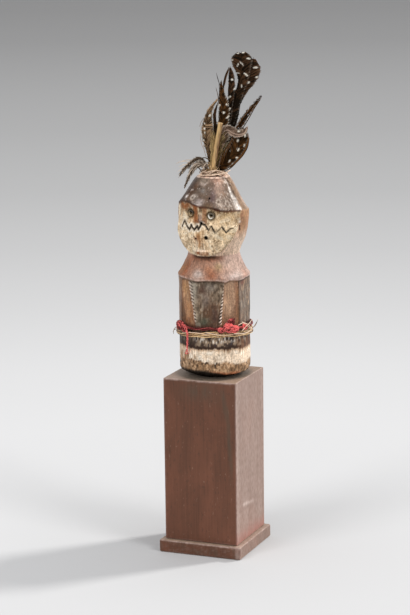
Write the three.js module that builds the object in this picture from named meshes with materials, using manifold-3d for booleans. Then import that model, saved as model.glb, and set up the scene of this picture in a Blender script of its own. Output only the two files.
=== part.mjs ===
// A carved wooden oracle figure with a feather tuft, on its tall square plinth.
// Millimetres, +Z up. The origin is the middle of the plinth's underside and the
// plinth's front looks along -Y. Angles round the figure are in degrees from its
// front, and grow towards +X.
import * as THREE from 'three';
import { mergeVertices } from 'three/addons/utils/BufferGeometryUtils.js';
import Module from 'manifold-3d';

const wasm = await Module();
wasm.setup();

// Plinth
const GAP = 0.3;
const SHAFT_SIDE = 76;
const FOOT_OVERHANG = 4.9;
const FOOT_HEIGHT = 12.6;
const PLINTH_HEIGHT = 176.1;
const WORN_EDGE = 1.6;

// Figure: where its axis stands, and its height
const FIGURE_X = 1.4;
const FIGURE_Y = 0.5;
const FIGURE_Z = PLINTH_HEIGHT + GAP;
const FIGURE_HEIGHT = 195.6;
const TRUNK_RADIUS = 34.7;
const SHOULDER_HEIGHT = 97.9;
const CHIN_HEIGHT = 121.2;
const BROW_HEIGHT = 171;
const UNDERCUT = 1.1;

// Profiles: [height above the figure's underside, radius]
const UNDERSIDE = [[0, 21], [3, 28], [5, 32], [6.4, 33.7], [8.6, 34.5], [12, TRUNK_RADIUS]];
const SHOULDER = [[97.9, 35], [100.5, 34.9], [104.7, 32.4], [109, 30], [113.7, 27.8], [117.3, 26.1], [121.2, 25]];
const HEAD_SIDE = [[121.2, 25], [127, 26.8], [131.6, 29], [137, 31.4], [144, 33.2], [152.7, 34.3], [158, 34.6], [171, 34]];
const FACE_FRONT = [[121.2, 30.4], [127, 32], [131.6, 33.8], [137, 35.2], [142, 35.6], [150, 34.9], [156, 33.4], [161, 32.4], [171, 32.2]];

// Crown: radius at [share of the way from the brow up to the flat top]
const CROWN_SIDE = [[0, 33.4], [0.18, 30], [0.36, 26.9], [0.52, 24.3], [0.68, 21.6], [0.84, 19], [1, 15.6]];
const CROWN_FRONT = [[0, 36], [0.25, 31.6], [0.5, 26.4], [0.75, 20.6], [1, 14.2]];

// Corners of the facets: [angle low on the trunk, angle at the shoulders], and the
// columns of points on each facet
const TRUNK_CORNERS = [[-47, -43], [-9, -22], [30, 38.6], [68, 64.5], [112, 112], [150, 150], [188, 188], [222, 222], [256, 256], [290, 290]];
const FACET_COLUMNS = [4, 12, 5, 8, 3, 3, 3, 3, 3, 4];
const PANEL_CORNERS = [1, 2];
const CROWN_CORNERS = [-70, -35, 20, 76.4, 112, 150, 188, 222, 256];
const SHOULDER_CORNERS = [-66, -24, 5, 31, 66, 104, 140, 180, 220, 258];

// Lines that wander round the figure: [angle, height above the underside]
const RIM = 7;
const RIM_LINE = [[-110, 6.4], [-48, 6.8], [-4, 8.2], [43, 5.4], [75, 5.6], [112, 6.4], [250, 6.4]];
const BROW_LINE = [[-110, 169], [-68, 169.6], [-45, 174], [-29, 174.4], [-12, 172], [0, 171.1], [20, 169.4], [40, 165.9], [70, 165.3], [112, 163.4], [180, 167], [250, 169]];
const JAW_LINE = [[14, 121.2], [25, 122.6], [36, 125], [44, 128.2], [54, 136.5], [65, 148], [70, 157], [74, 165], [78, 176]];
const ZIGZAG = [[-38, 151.5], [-32, 147.5], [-27, 151.5], [-22.5, 145.5], [-18, 150], [-13.5, 145], [-7.5, 149.8], [-3, 146], [2, 152], [8, 149], [14, 145.6], [20, 149.8], [26, 143.8], [35, 149], [43, 144.5], [51, 148.6]];

// Face
const NOSE_TOP = 171;
const NOSE_TIP = 156;
const NOSE_BASE_ANGLE = 10.5;
const NOSE_REACH = [[156, 37.6], [171, 35.4]];
const EYES = [{ name: 'eye_left', angle: -21, height: 162.6 }, { name: 'eye_right', angle: 17.5, height: 160.8 }];
const SOCKET_RADIUS = 4.7;
const SOCKET_FLOOR = 30.6;
const EYE_RING = { inner: 1.9, outer: 3.5, height: 1.3 };
const DRILLED_HOLES = [
  { angle: -7.5, height: 139.4, radius: 1.2 },
  { angle: 9, height: 140.4, radius: 1.7 },
  { angle: 14.5, height: 177.5, radius: 1 },
];
const MOUTH = { angle: 3.5, halfAngle: 6.5, bottom: 121.6, top: 127.2, reach: 1.2 };
const EAR_SLIT = { angle: 68.5, height: 148, length: 5, width: 1.6 };
const GROOVE_WIDTH = 1.1;
const NOTCH_PITCH = 2.9;
const NOTCH_SLANT = 35;

// Waist: straw strands and red yarn
const STRAWS = [
  { name: 'straw_upper', height: 47.4, wave: 0.9, phase: 20, radius: 1.1 },
  { name: 'straw_lower', height: 44.2, wave: 0.9, phase: 40, radius: 1.2 },
];
const STRAND_LIFT = 0.75;
const YARN = { height: 52.2, wave: 0.5, phase: 30, radius: 1.7 };
const KNOT_SQUASH = [1, 0.9, 0.62];
const YARN_KNOTS = [
  [-44, 52.6, 4.8], [-33, 50.6, 4], [33, 51.4, 3.4],
  [43, 53.8, 4.8], [54, 51.8, 4.2], [70, 51.6, 4.2],
];
const YARN_TAIL = [[-31, 49.6, 38], [-26.6, 45, 39.2], [-26, 37, 37.6], [-25.6, 30, 36.4], [-25.6, 24.5, 36]];

// Tuft. Its own frame is turned about Z, so that its broad side is seen whole:
// [across, up from the crown's top, towards]
const TUFT_TURN = 22;
const BINDING = { inner: 8.2, outer: 13.4, height: 4.6 };
const CANE = { foot: [-2.4, 0.9, 4.9], head: [9.2, 51.6, 11.6], footRadius: 2, headRadius: 1.9 };
const VANE_THICKNESS = 1.1;
const QUILL = 0.8;

// Each feather: its spine, and [share of its length, half width to the left, to the right]
const FEATHERS = {
  feather_tall_front: {
    spine: [[1.2, 0.9, -5], [8.5, 27, -5.6], [17, 52, -5.8], [24, 76, -6.4], [27.6, 92, -7.6], [28.6, 105, -9.4], [29, 118, -12]],
    vane: [[0.1, 0.8, 0.8], [0.22, 3.6, 3.8], [0.5, 4.8, 4.8], [0.66, 5.4, 5.4], [0.8, 8.4, 8], [0.91, 10.6, 10.2], [0.97, 8, 8], [1, 3.6, 3.6]],
  },
  feather_tall_back: {
    spine: [[3.8, 0.9, -4], [5.8, 9, -5.2], [11.2, 26, -9.6], [17, 49, -12], [23.4, 69, -12.6], [30.5, 86, -13.2], [36.6, 100, -14.6], [40.2, 111.6, -17]],
    vane: [[0.12, 0.8, 0.8], [0.24, 3.4, 3.8], [0.5, 4.8, 5.4], [0.68, 6.4, 6.8], [0.82, 8.4, 8.6], [0.92, 8, 8.2], [1, 3.4, 3.4]],
  },
  feather_narrow: {
    spine: [[1.3, 0.9, -2.2], [7.5, 27, -2.8], [12.5, 50, -2.8], [16.4, 72, -2.4], [18.2, 88, -1.4], [17.6, 105, 1.4]],
    vane: [[0.12, 0.8, 0.8], [0.26, 3.4, 3.6], [0.52, 4.6, 4.6], [0.68, 4.2, 4], [0.84, 3.4, 3.4], [1, 0.5, 0.5]],
  },
  feather_brown: {
    spine: [[-1.4, 0.9, -2.8], [4, 27, -0.8], [8.2, 48, -0.2], [9.8, 64, 0.6], [9.4, 78, 1.2], [8.4, 91, 0.4]],
    vane: [[0.16, 0.8, 0.8], [0.32, 3.4, 3.8], [0.52, 4.8, 5.8], [0.68, 5.4, 5.6], [0.84, 3, 2.8], [1, 0.6, 0.6]],
  },
  feather_loop: {
    spine: [[1.4, 0.9, 1.8], [1.6, 30, 4.6], [2.6, 48, 5.4], [2.2, 60, 5.2], [5.4, 71, 4.4]],
    vane: [[0.5, 0.7, 0.7], [0.66, 1.7, 1.7], [0.84, 1.5, 1.5], [1, 0.4, 0.4]],
  },
  feather_curled_left: {
    spine: [[-3.3, 0.9, -0.2], [-3.4, 14, 2], [-5, 29, 3], [-6.6, 42, 3.2], [-5.4, 54, 3.2], [-1, 65, 3.2], [5.4, 74.6, 3]],
    vane: [[0.16, 0.8, 0.8], [0.34, 3.6, 5.4], [0.5, 4.9, 7.6], [0.68, 4.8, 6.4], [0.84, 3.2, 3], [1, 0.5, 0.5]],
  },
  feather_down: {
    spine: [[-0.4, 0.9, 0.2], [3.4, 17, 1.2], [5.2, 33, 1.4], [6.2, 50, 1.6]],
    vane: [[0.16, 0.8, 0.8], [0.34, 5.4, 4.6], [0.6, 4.4, 7.6], [0.86, 4, 8.8], [1, 2.4, 3]],
  },
  feather_folded: {
    spine: [[3.4, 0.9, 3.2], [8.2, 22, 5.8], [10.6, 38, 7.2], [13.8, 45.4, 8.2], [18.5, 45, 9.6], [24.4, 42.4, 10.8], [29.6, 43.6, 10.4], [34, 48.2, 9.4]],
    vane: [[0.44, 0.8, 0.8], [0.58, 4.2, 3.2], [0.74, 4.6, 4.2], [0.88, 3.6, 3.2], [1, 0.5, 0.5]],
  },
  feather_spotted_right: {
    spine: [[5, 0.9, 1.2], [6.4, 6.4, 2], [13, 13.6, 3.6], [21.6, 22.2, 4.6], [27, 33, 5], [29.6, 46, 4.4]],
    vane: [[0.14, 0.8, 0.8], [0.3, 5.4, 6.6], [0.52, 8.4, 8.2], [0.8, 8.6, 7.2], [1, 1.6, 1.6]],
  },
  feather_pointed: {
    spine: [[4.2, 0.9, -2], [12, 15, -5], [18.6, 33, -6.8], [26.4, 49, -7.4], [36, 62.6, -8], [47.6, 76, -8.8]],
    vane: [[0.46, 0.9, 0.9], [0.6, 2.4, 2.4], [0.78, 2.6, 2.4], [0.9, 1.6, 1.4], [1, 0.4, 0.4]],
  },
  feather_drooping: {
    spine: [[-5.8, 0.9, -0.2], [-6.8, 8.4, 3], [-9.4, 15.6, 7], [-14, 18.2, 10], [-20.4, 15.2, 11.8], [-26.6, 9.8, 12.8], [-32.4, 1.8, 13.2]],
    vane: [[0.26, 0.8, 0.8], [0.42, 1.2, 3.8], [0.66, 1.1, 3.4], [0.84, 1, 1.6], [1, 0.4, 0.4]],
  },
  feather_drooping_low: {
    spine: [[-5, 0.9, 2.4], [-5.2, 6.4, 4.4], [-9, 12.6, 12.4], [-14.6, 12.8, 16.4], [-20.4, 6.6, 17.4], [-24.6, -1.8, 17.6], [-27.8, -10, 17.4]],
    vane: [[0.3, 0.8, 0.8], [0.46, 1.3, 2.6], [0.7, 1.1, 2.2], [0.86, 0.9, 1.2], [1, 0.4, 0.4]],
  },
};

// Resolution
const ROWS_FACE = 18;
const ROWS_CROWN = 4;
const RING_STEPS = 32;
const SPINE_STEPS = 12;

const radians = THREE.MathUtils.degToRad;
const lerp = THREE.MathUtils.lerp;
const smooth = THREE.MathUtils.smoothstep;
const parts = new THREE.Group();

// Straight lines between the profile's points
function along(profile, x) {
  const last = profile.length - 1;
  if (x <= profile[0][0]) return profile[0][1];
  if (x >= profile[last][0]) return profile[last][1];
  const i = profile.findIndex((point) => point[0] > x);
  const [x0, y0] = profile[i - 1];
  const [x1, y1] = profile[i];
  return lerp(y0, y1, (x - x0) / (x1 - x0));
}

// An angle brought to within one turn that starts at the given angle
function turnFrom(start, angle) {
  return start + THREE.MathUtils.euclideanModulo(angle - start, 360);
}

// How far a flat facet lies inside the circle through its two corners, as a share
function facet(corners, angle) {
  const a = turnFrom(corners[0], angle);
  const ends = [...corners, corners[0] + 360];
  const i = ends.findIndex((corner) => corner > a);
  const half = (ends[i] - ends[i - 1]) / 2;
  const middle = (ends[i] + ends[i - 1]) / 2;
  return Math.cos(radians(half)) / Math.cos(radians(a - middle));
}

function rimHeight(angle) {
  return along(RIM_LINE, turnFrom(-110, angle));
}

function browHeight(angle) {
  return along(BROW_LINE, turnFrom(-110, angle));
}

// Angle of the jaw's edge from the face's middle at a height
function jawAngle(height) {
  return along(JAW_LINE.map(([angle, h]) => [h, angle]), height);
}

function trunkCorners(height) {
  const t = THREE.MathUtils.clamp((height - 50) / (SHOULDER_HEIGHT - 50), 0, 1);
  return TRUNK_CORNERS.map(([low, high]) => lerp(low, high, t));
}

function trunkRadius(angle, height) {
  const flatness = lerp(0.55, 1, smooth(height, 30, 56));
  const cut = lerp(1, facet(trunkCorners(height), angle), flatness);
  return along(UNDERSIDE, (height * RIM) / rimHeight(angle)) * lerp(1, cut, smooth(height, 2, 16));
}

function shoulderRadius(angle, height) {
  const cut = facet(SHOULDER_CORNERS, angle);
  const flatness = 0.75 * smooth(height, 99, 104) * (1 - smooth(height, 110, 120));
  return along(SHOULDER, height) * lerp(1, cut, flatness);
}

// The nose is a keel that rises from the face to a sharp ridge
function noseRise(angle, height) {
  if (height < NOSE_TIP || height > NOSE_TOP + 3) return 0;
  const keel = Math.max(0, 1 - Math.abs(angle) / NOSE_BASE_ANGLE);
  return (along(NOSE_REACH, height) - along(FACE_FRONT, height)) * keel ** 0.8;
}

function headRadius(angle, height) {
  const turned = turnFrom(-180, angle);
  const side = along(HEAD_SIDE, height);
  const front = along(FACE_FRONT, height);
  const edge = jawAngle(height);
  const face = 1 - smooth(Math.abs(turned), edge - 5, edge + 4);
  let radius = lerp(side, front, face) + noseRise(turned, height);
  const inMouth = Math.abs(turned - MOUTH.angle) < MOUTH.halfAngle;
  if (inMouth && height > MOUTH.bottom && height < MOUTH.top) radius += MOUTH.reach;
  return radius;
}

function crownRadius(angle, height) {
  const turned = turnFrom(-180, angle);
  const brow = browHeight(angle);
  const share = (height - brow) / (FIGURE_HEIGHT - brow);
  const frontness = Math.cos(radians(THREE.MathUtils.clamp(turned, -90, 90))) ** 2;
  const round = lerp(along(CROWN_SIDE, share), along(CROWN_FRONT, share), frontness);
  const flatness = lerp(0.9, 0.3, smooth(turned, -70, -40) * (1 - smooth(turned, 50, 70)));
  return round * lerp(1, facet(CROWN_CORNERS, angle), flatness);
}

function figureRadius(angle, height) {
  if (height < SHOULDER_HEIGHT) return trunkRadius(angle, height);
  if (height < CHIN_HEIGHT) return shoulderRadius(angle, height);
  if (height < browHeight(angle)) return headRadius(angle, height);
  return crownRadius(angle, height);
}

function onFigure(angle, height, radius) {
  const a = radians(angle);
  return new THREE.Vector3(
    FIGURE_X + radius * Math.sin(a),
    FIGURE_Y - radius * Math.cos(a),
    FIGURE_Z + height,
  );
}

// A closed body from rings of points, with a point at each end
function bodyOfRings(rings, first, last) {
  const count = rings[0].length;
  const points = [first, ...rings.flat(), last];
  const faces = [];
  const end = points.length - 1;
  for (let j = 0; j < count; j += 1) {
    const k = (j + 1) % count;
    faces.push(0, 1 + k, 1 + j);
    faces.push(end, end - count + j, end - count + k);
    for (let i = 0; i < rings.length - 1; i += 1) {
      const a = 1 + i * count;
      const b = a + count;
      faces.push(a + j, a + k, b + k, a + j, b + k, b + j);
    }
  }
  const geometry = new THREE.BufferGeometry().setFromPoints(points);
  geometry.setIndex(faces);
  return geometry;
}

// A closed hoop from sections of points that follow one another round a loop
function bodyOfHoop(sections) {
  const sides = sections[0].length;
  const faces = [];
  sections.forEach((section, i) => {
    const a = i * sides;
    const b = ((i + 1) % sections.length) * sides;
    for (let j = 0; j < sides; j += 1) {
      const k = (j + 1) % sides;
      faces.push(a + j, b + j, b + k, a + j, b + k, a + k);
    }
  });
  const geometry = new THREE.BufferGeometry().setFromPoints(sections.flat());
  geometry.setIndex(faces);
  return geometry;
}

function solidOf(geometry) {
  const bare = geometry.clone();
  bare.deleteAttribute('normal');
  bare.deleteAttribute('uv');
  const merged = mergeVertices(bare, 1e-4);
  return new wasm.Manifold(new wasm.Mesh({
    numProp: 3,
    vertProperties: Float32Array.from(merged.attributes.position.array),
    triVerts: Uint32Array.from(merged.index.array),
  }));
}

function geometryOf(solid) {
  const mesh = solid.getMesh();
  const geometry = new THREE.BufferGeometry();
  geometry.setAttribute('position', new THREE.BufferAttribute(mesh.vertProperties, 3));
  geometry.setIndex(new THREE.BufferAttribute(mesh.triVerts, 1));
  return geometry;
}

function add(name, geometry, color, roughness) {
  const material = new THREE.MeshStandardMaterial({ color, roughness, metalness: 0 });
  const mesh = new THREE.Mesh(geometry, material);
  mesh.name = name;
  parts.add(mesh);
  return mesh;
}

// A square board or block with softened edges, standing on z = 0
function board(side, height, edge) {
  const half = side / 2 - edge;
  const outline = new THREE.Shape();
  outline.moveTo(-half, -half);
  outline.lineTo(half, -half);
  outline.lineTo(half, half);
  outline.lineTo(-half, half);
  outline.closePath();
  const geometry = new THREE.ExtrudeGeometry(outline, {
    depth: height - 2 * edge,
    bevelThickness: edge,
    bevelSize: edge,
    bevelSegments: 2,
  });
  return geometry.translate(0, 0, edge);
}

// A cutter stands on the figure's surface, with x along the cut and z outwards
function place(geometry, angle, height, radius, slant = 0) {
  const a = radians(angle);
  const out = new THREE.Vector3(Math.sin(a), -Math.cos(a), 0);
  const level = new THREE.Vector3(Math.cos(a), Math.sin(a), 0);
  const up = new THREE.Vector3(0, 0, 1);
  const turned = geometry.clone().rotateZ(radians(slant));
  const basis = new THREE.Matrix4().makeBasis(level, up, out);
  basis.setPosition(onFigure(angle, height, radius));
  return turned.applyMatrix4(basis);
}

// One straight stroke of a groove between two points on the face
function stroke([angle0, height0], [angle1, height1], width) {
  const angle = (angle0 + angle1) / 2;
  const height = (height0 + height1) / 2;
  const radius = figureRadius(angle, height);
  const run = radians(angle1 - angle0) * radius;
  const rise = height1 - height0;
  const length = Math.hypot(run, rise) + width * 0.6;
  const bar = new THREE.BoxGeometry(length, width, 2.6);
  return place(bar, angle, height, radius, THREE.MathUtils.radToDeg(Math.atan2(rise, run)));
}

function cuttersForFace() {
  const cutters = [];
  for (const eye of EYES) {
    const socket = new THREE.CylinderGeometry(SOCKET_RADIUS, SOCKET_RADIUS - 0.5, 8, 18);
    socket.rotateX(Math.PI / 2).translate(0, 0, 4);
    cutters.push(place(socket, eye.angle, eye.height, SOCKET_FLOOR));
  }
  for (const { angle, height, radius } of DRILLED_HOLES) {
    const drill = new THREE.CylinderGeometry(radius, radius, 10, 10).rotateX(Math.PI / 2);
    cutters.push(place(drill, angle, height, figureRadius(angle, height)));
  }
  for (let i = 0; i < ZIGZAG.length - 1; i += 1) {
    cutters.push(stroke(ZIGZAG[i], ZIGZAG[i + 1], GROOVE_WIDTH));
  }
  const slit = new THREE.BoxGeometry(EAR_SLIT.width, EAR_SLIT.length, 4);
  cutters.push(place(slit, EAR_SLIT.angle, EAR_SLIT.height, figureRadius(EAR_SLIT.angle, EAR_SLIT.height)));
  return cutters;
}

// Two rows of slanted notches down the edges of the front panel
function cuttersForPanel() {
  const cutters = [];
  for (const [order, corner] of PANEL_CORNERS.entries()) {
    const slant = order === 0 ? -NOTCH_SLANT : NOTCH_SLANT;
    for (let height = 58; height < SHOULDER_HEIGHT - 2; height += NOTCH_PITCH) {
      const angle = trunkCorners(height)[corner];
      const notch = new THREE.BoxGeometry(3.8, 1.3, 3.2);
      cutters.push(place(notch, angle, height, trunkRadius(angle, height), slant));
    }
  }
  return cutters;
}

// Angles of the figure's columns at a height. One column runs up every corner of the
// trunk, and the rest lie evenly between: close together in front, wider behind.
function columnAngles(height) {
  const corners = trunkCorners(height);
  const ends = [...corners, corners[0] + 360];
  return FACET_COLUMNS.flatMap((count, i) => (
    Array.from({ length: count }, (_, j) => lerp(ends[i], ends[i + 1], j / count))
  ));
}

// Heights of the figure's rows. Each ledge has a row at its lip and one just under it.
function rowHeights() {
  const rows = [0, 3, 5, 6.4, 8.6, 12, 28, 42, 52, 74];
  rows.push(SHOULDER_HEIGHT - UNDERCUT, SHOULDER_HEIGHT, 100.5, 102.6, 104.7, 109, 113.7, 117.3);
  rows.push(CHIN_HEIGHT - UNDERCUT);
  for (let i = 0; i < ROWS_FACE; i += 1) {
    rows.push(lerp(CHIN_HEIGHT, BROW_HEIGHT - UNDERCUT, i / (ROWS_FACE - 1)));
  }
  for (let i = 0; i <= ROWS_CROWN; i += 1) {
    rows.push(lerp(BROW_HEIGHT, FIGURE_HEIGHT, i / ROWS_CROWN));
  }
  return rows;
}

// Rows near the rim and near the brow rise and fall with them
function rowHeightAt(row, angle) {
  if (row < 20) return (row * rimHeight(angle)) / RIM;
  const shift = browHeight(angle) - BROW_HEIGHT;
  const near = smooth(row, 152, BROW_HEIGHT - UNDERCUT) * (1 - smooth(row, BROW_HEIGHT, FIGURE_HEIGHT));
  return row + shift * near;
}

function figureGeometry() {
  const rings = rowHeights().map((row) => columnAngles(row).map((angle) => {
    const height = rowHeightAt(row, angle);
    const lip = row === BROW_HEIGHT ? 0.001 : 0;
    return onFigure(angle, height, figureRadius(angle, height + lip));
  }));
  const bottom = onFigure(0, 0, 0);
  const top = onFigure(0, FIGURE_HEIGHT, 0);
  let solid = solidOf(bodyOfRings(rings, bottom, top));
  for (const cutter of [...cuttersForFace(), ...cuttersForPanel()]) {
    solid = solid.subtract(solidOf(cutter));
  }
  return geometryOf(solid);
}

// A small ring that lies in an eye socket
function eyeRing(eye) {
  const { inner, outer, height } = EYE_RING;
  const profile = [[inner, 0], [outer, 0], [outer, height * 0.6], [(inner + outer) / 2, height], [inner, height * 0.6], [inner, 0]];
  const ring = new THREE.LatheGeometry(profile.map(([x, y]) => new THREE.Vector2(x, y)), 12);
  ring.rotateX(Math.PI / 2);
  return place(ring, eye.angle, eye.height, SOCKET_FLOOR + GAP);
}

// A strand tied round the waist: it lies on the corners of the trunk
function strand({ height, wave, phase, radius }, sides, swell = 0) {
  const sections = [];
  const step = 360 / RING_STEPS;
  for (let i = 0; i < RING_STEPS; i += 1) {
    const angle = i * step;
    const middle = height + wave * Math.sin(radians(2 * angle + phase));
    const near = [-step, -step / 2, 0, step / 2, step].map((turn) => trunkRadius(angle + turn, height));
    const reach = Math.max(...near) + STRAND_LIFT + radius;
    const section = [];
    for (let j = 0; j < sides; j += 1) {
      const turn = (j * 2 * Math.PI) / sides;
      const r = radius + swell;
      section.push(onFigure(angle, middle + r * Math.sin(turn), reach + r * Math.cos(turn)));
    }
    sections.push(section);
  }
  return bodyOfHoop(sections);
}

function redYarn() {
  let yarn = solidOf(strand(YARN, 5));
  for (const [angle, height, size] of YARN_KNOTS) {
    const lump = new THREE.IcosahedronGeometry(size, 1).scale(...KNOT_SQUASH);
    const reach = TRUNK_RADIUS + STRAND_LIFT + size * KNOT_SQUASH[2];
    yarn = yarn.add(solidOf(place(lump, angle, height, reach)));
  }
  const route = new THREE.CatmullRomCurve3(YARN_TAIL.map(([angle, height, radius]) => onFigure(angle, height, radius)));
  const round = new THREE.Shape().absarc(0, 0, 0.95, 0, 2 * Math.PI);
  const tail = new THREE.ExtrudeGeometry(round, { steps: 10, curveSegments: 3, extrudePath: route });
  yarn = yarn.add(solidOf(tail));
  for (const straw of STRAWS) yarn = yarn.subtract(solidOf(strand(straw, 5, 2 * GAP)));
  return geometryOf(yarn);
}

// The tuft's frame in the model's
function tuftPoint([across, up, towards]) {
  const a = radians(TUFT_TURN);
  return new THREE.Vector3(
    FIGURE_X + across * Math.cos(a) + towards * Math.sin(a),
    FIGURE_Y + across * Math.sin(a) - towards * Math.cos(a),
    FIGURE_Z + FIGURE_HEIGHT + up,
  );
}

function tuftDirection(direction) {
  return tuftPoint(direction).sub(tuftPoint([0, 0, 0])).normalize();
}

// A feather is a thin lens of a section, carried along its spine
function featherGeometry({ spine, vane }) {
  const curve = new THREE.CatmullRomCurve3(spine.map(tuftPoint), false, 'centripetal');
  const facing = tuftDirection([0, 0, 1]);
  const left = [[0, QUILL], ...vane.map(([share, width]) => [share, width])];
  const right = [[0, QUILL], ...vane.map(([share, , width]) => [share, width])];
  const rings = [];
  for (let i = 0; i <= SPINE_STEPS; i += 1) {
    const share = i / SPINE_STEPS;
    const point = curve.getPointAt(share);
    const tangent = curve.getTangentAt(share);
    const across = new THREE.Vector3().crossVectors(tangent, facing).normalize();
    const out = new THREE.Vector3().crossVectors(across, tangent).normalize();
    const thick = (VANE_THICKNESS / 2) * (share > 0.94 ? 0.6 : 1);
    rings.push([
      point.clone().addScaledVector(across, along(right, share)),
      point.clone().addScaledVector(out, -thick),
      point.clone().addScaledVector(across, -along(left, share)),
      point.clone().addScaledVector(out, thick),
    ]);
  }
  const foot = curve.getPointAt(0).addScaledVector(curve.getTangentAt(0), -0.1);
  const tip = curve.getPointAt(1).addScaledVector(curve.getTangentAt(1), 0.5);
  return bodyOfRings(rings, foot, tip);
}

// The ring of straw round the feet of the feathers
function bindingGeometry() {
  const { inner, outer, height } = BINDING;
  const profile = [[inner, 0], [outer, 0], [outer + 0.6, height * 0.35], [outer - 1.2, height * 0.8], [inner + 1.4, height], [inner, height * 0.6], [inner, 0]];
  const ring = new THREE.LatheGeometry(profile.map(([x, y]) => new THREE.Vector2(x, y)), 24);
  ring.rotateX(Math.PI / 2);
  return ring.translate(FIGURE_X, FIGURE_Y, FIGURE_Z + FIGURE_HEIGHT + GAP);
}

function caneGeometry() {
  const foot = tuftPoint(CANE.foot);
  const head = tuftPoint(CANE.head);
  const length = foot.distanceTo(head);
  const cane = new THREE.CylinderGeometry(CANE.headRadius, CANE.footRadius, length, 12);
  cane.translate(0, length / 2, 0);
  const turn = new THREE.Quaternion().setFromUnitVectors(
    new THREE.Vector3(0, 1, 0),
    head.clone().sub(foot).normalize(),
  );
  return cane.applyQuaternion(turn).translate(foot.x, foot.y, foot.z);
}

const foot = add('plinth_foot', board(SHAFT_SIDE + 2 * FOOT_OVERHANG, FOOT_HEIGHT, WORN_EDGE), 0x5a3020, 0.5);
const blockHeight = PLINTH_HEIGHT - FOOT_HEIGHT - GAP;
const block = add('plinth_block', board(SHAFT_SIDE, blockHeight, WORN_EDGE / 2), 0x552f24, 0.45);
block.position.z = foot.position.z + FOOT_HEIGHT + GAP;

add('figure', figureGeometry(), 0x8a6a50, 0.55);
for (const eye of EYES) add(eye.name, eyeRing(eye), 0x8c8880, 0.4);
for (const straw of STRAWS) add(straw.name, strand(straw, 5), 0xd8b483, 0.7);
add('red_yarn', redYarn(), 0xa52a30, 0.9);
add('crown_binding', bindingGeometry(), 0xb99a72, 0.8);
add('cane_stub', caneGeometry(), 0xc8a468, 0.5);
for (const [name, shape] of Object.entries(FEATHERS)) {
  add(name, featherGeometry(shape), 0x2c2118, 0.7);
}

export default parts;
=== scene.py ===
"""An oracle figure on its plinth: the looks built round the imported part.

Every length in the functions is in millimetres and every angle in degrees; a mesh is
written in metres. Angles round the figure grow from its front, -Y, towards +X.
"""

import math

import bpy
import numpy as np
from bpy.props import FloatProperty, FloatVectorProperty, IntProperty, PointerProperty
from mathutils import Matrix


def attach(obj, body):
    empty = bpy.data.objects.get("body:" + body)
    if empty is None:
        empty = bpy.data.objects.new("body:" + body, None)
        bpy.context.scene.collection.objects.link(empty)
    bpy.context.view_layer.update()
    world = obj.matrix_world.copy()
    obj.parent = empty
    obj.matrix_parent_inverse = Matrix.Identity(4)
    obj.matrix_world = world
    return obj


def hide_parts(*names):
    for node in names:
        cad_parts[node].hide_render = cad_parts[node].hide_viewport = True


bl_info = {
    "name": "Oracle figure",
    "version": (1, 0, 0),
    "blender": (4, 5, 0),
    "location": "3D Viewport > Sidebar > Figure",
    "description": "Builds the looks of a carved oracle figure with its feather tuft",
    "category": "Add Mesh",
}

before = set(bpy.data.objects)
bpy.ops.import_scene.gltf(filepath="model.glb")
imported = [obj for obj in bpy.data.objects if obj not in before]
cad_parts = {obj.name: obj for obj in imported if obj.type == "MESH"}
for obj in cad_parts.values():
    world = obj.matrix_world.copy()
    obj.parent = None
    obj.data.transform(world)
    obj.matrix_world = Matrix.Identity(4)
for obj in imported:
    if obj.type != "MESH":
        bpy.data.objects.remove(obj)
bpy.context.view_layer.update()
MM = 0.001

# Hair's breadth that keeps the solids apart
GAP = 0.3

# Plinth
SHAFT_SIDE = 76
FOOT_SIDE = 85.8
FOOT_HEIGHT = 12.6
BLOCK_BOTTOM = FOOT_HEIGHT + GAP
PLINTH_HEIGHT = 176.1
FOOT_EDGE = 1.6
BLOCK_EDGE = 0.8
# The chip in the foot board's upper front edge
CHIP_X = 33.4
CHIP_DEPTH = 1.6

# Figure: where its axis stands, and its heights
FIGURE_X = 1.4
FIGURE_Y = 0.5
FIGURE_Z = PLINTH_HEIGHT + GAP
FIGURE_HEIGHT = 195.6
TRUNK_RADIUS = 34.7
SHOULDER_HEIGHT = 97.9
CHIN_HEIGHT = 121.2
BROW_HEIGHT = 171
UNDERCUT = 1.1
CROWN_TOP = FIGURE_Z + FIGURE_HEIGHT
# Points round its back
BACK_COLUMNS = 78

# Profiles: (height above the figure's underside, radius)
UNDERSIDE = ((0, 21), (3, 28), (5, 32), (6.4, 33.7), (8.6, 34.5), (12, 34.7))
SHOULDER = (
    (97.9, 35), (100.5, 34.9), (104.7, 32.4), (109, 30),
    (113.7, 27.8), (117.3, 26.1), (121.2, 25),
)
HEAD_SIDE = (
    (121.2, 25), (127, 26.8), (131.6, 29), (137, 31.4),
    (144, 33.2), (152.7, 34.3), (158, 34.6), (171, 34),
)
FACE_FRONT = (
    (121.2, 30.4), (127, 32), (131.6, 33.8), (137, 35.2), (142, 35.6),
    (150, 34.9), (156, 33.4), (161, 32.4), (171, 32.2),
)
# Crown: (share of the way from the brow up to the flat top, radius)
CROWN_SIDE = (
    (0, 33.4), (0.18, 30), (0.36, 26.9), (0.52, 24.3), (0.68, 21.6), (0.84, 19), (1, 15.6),
)
CROWN_FRONT = ((0, 36), (0.25, 31.6), (0.5, 26.4), (0.75, 20.6), (1, 14.2))

# Corners of the facets: (angle low on the trunk, angle at the shoulders)
TRUNK_CORNERS = (
    (-47, -43), (-9, -22), (30, 38.6), (68, 64.5), (112, 112),
    (150, 150), (188, 188), (222, 222), (256, 256), (290, 290),
)
CROWN_CORNERS = (-70, -35, 20, 76.4, 112, 150, 188, 222, 256)
SHOULDER_CORNERS = (-66, -24, 5, 31, 66, 104, 140, 180, 220, 258)

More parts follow.
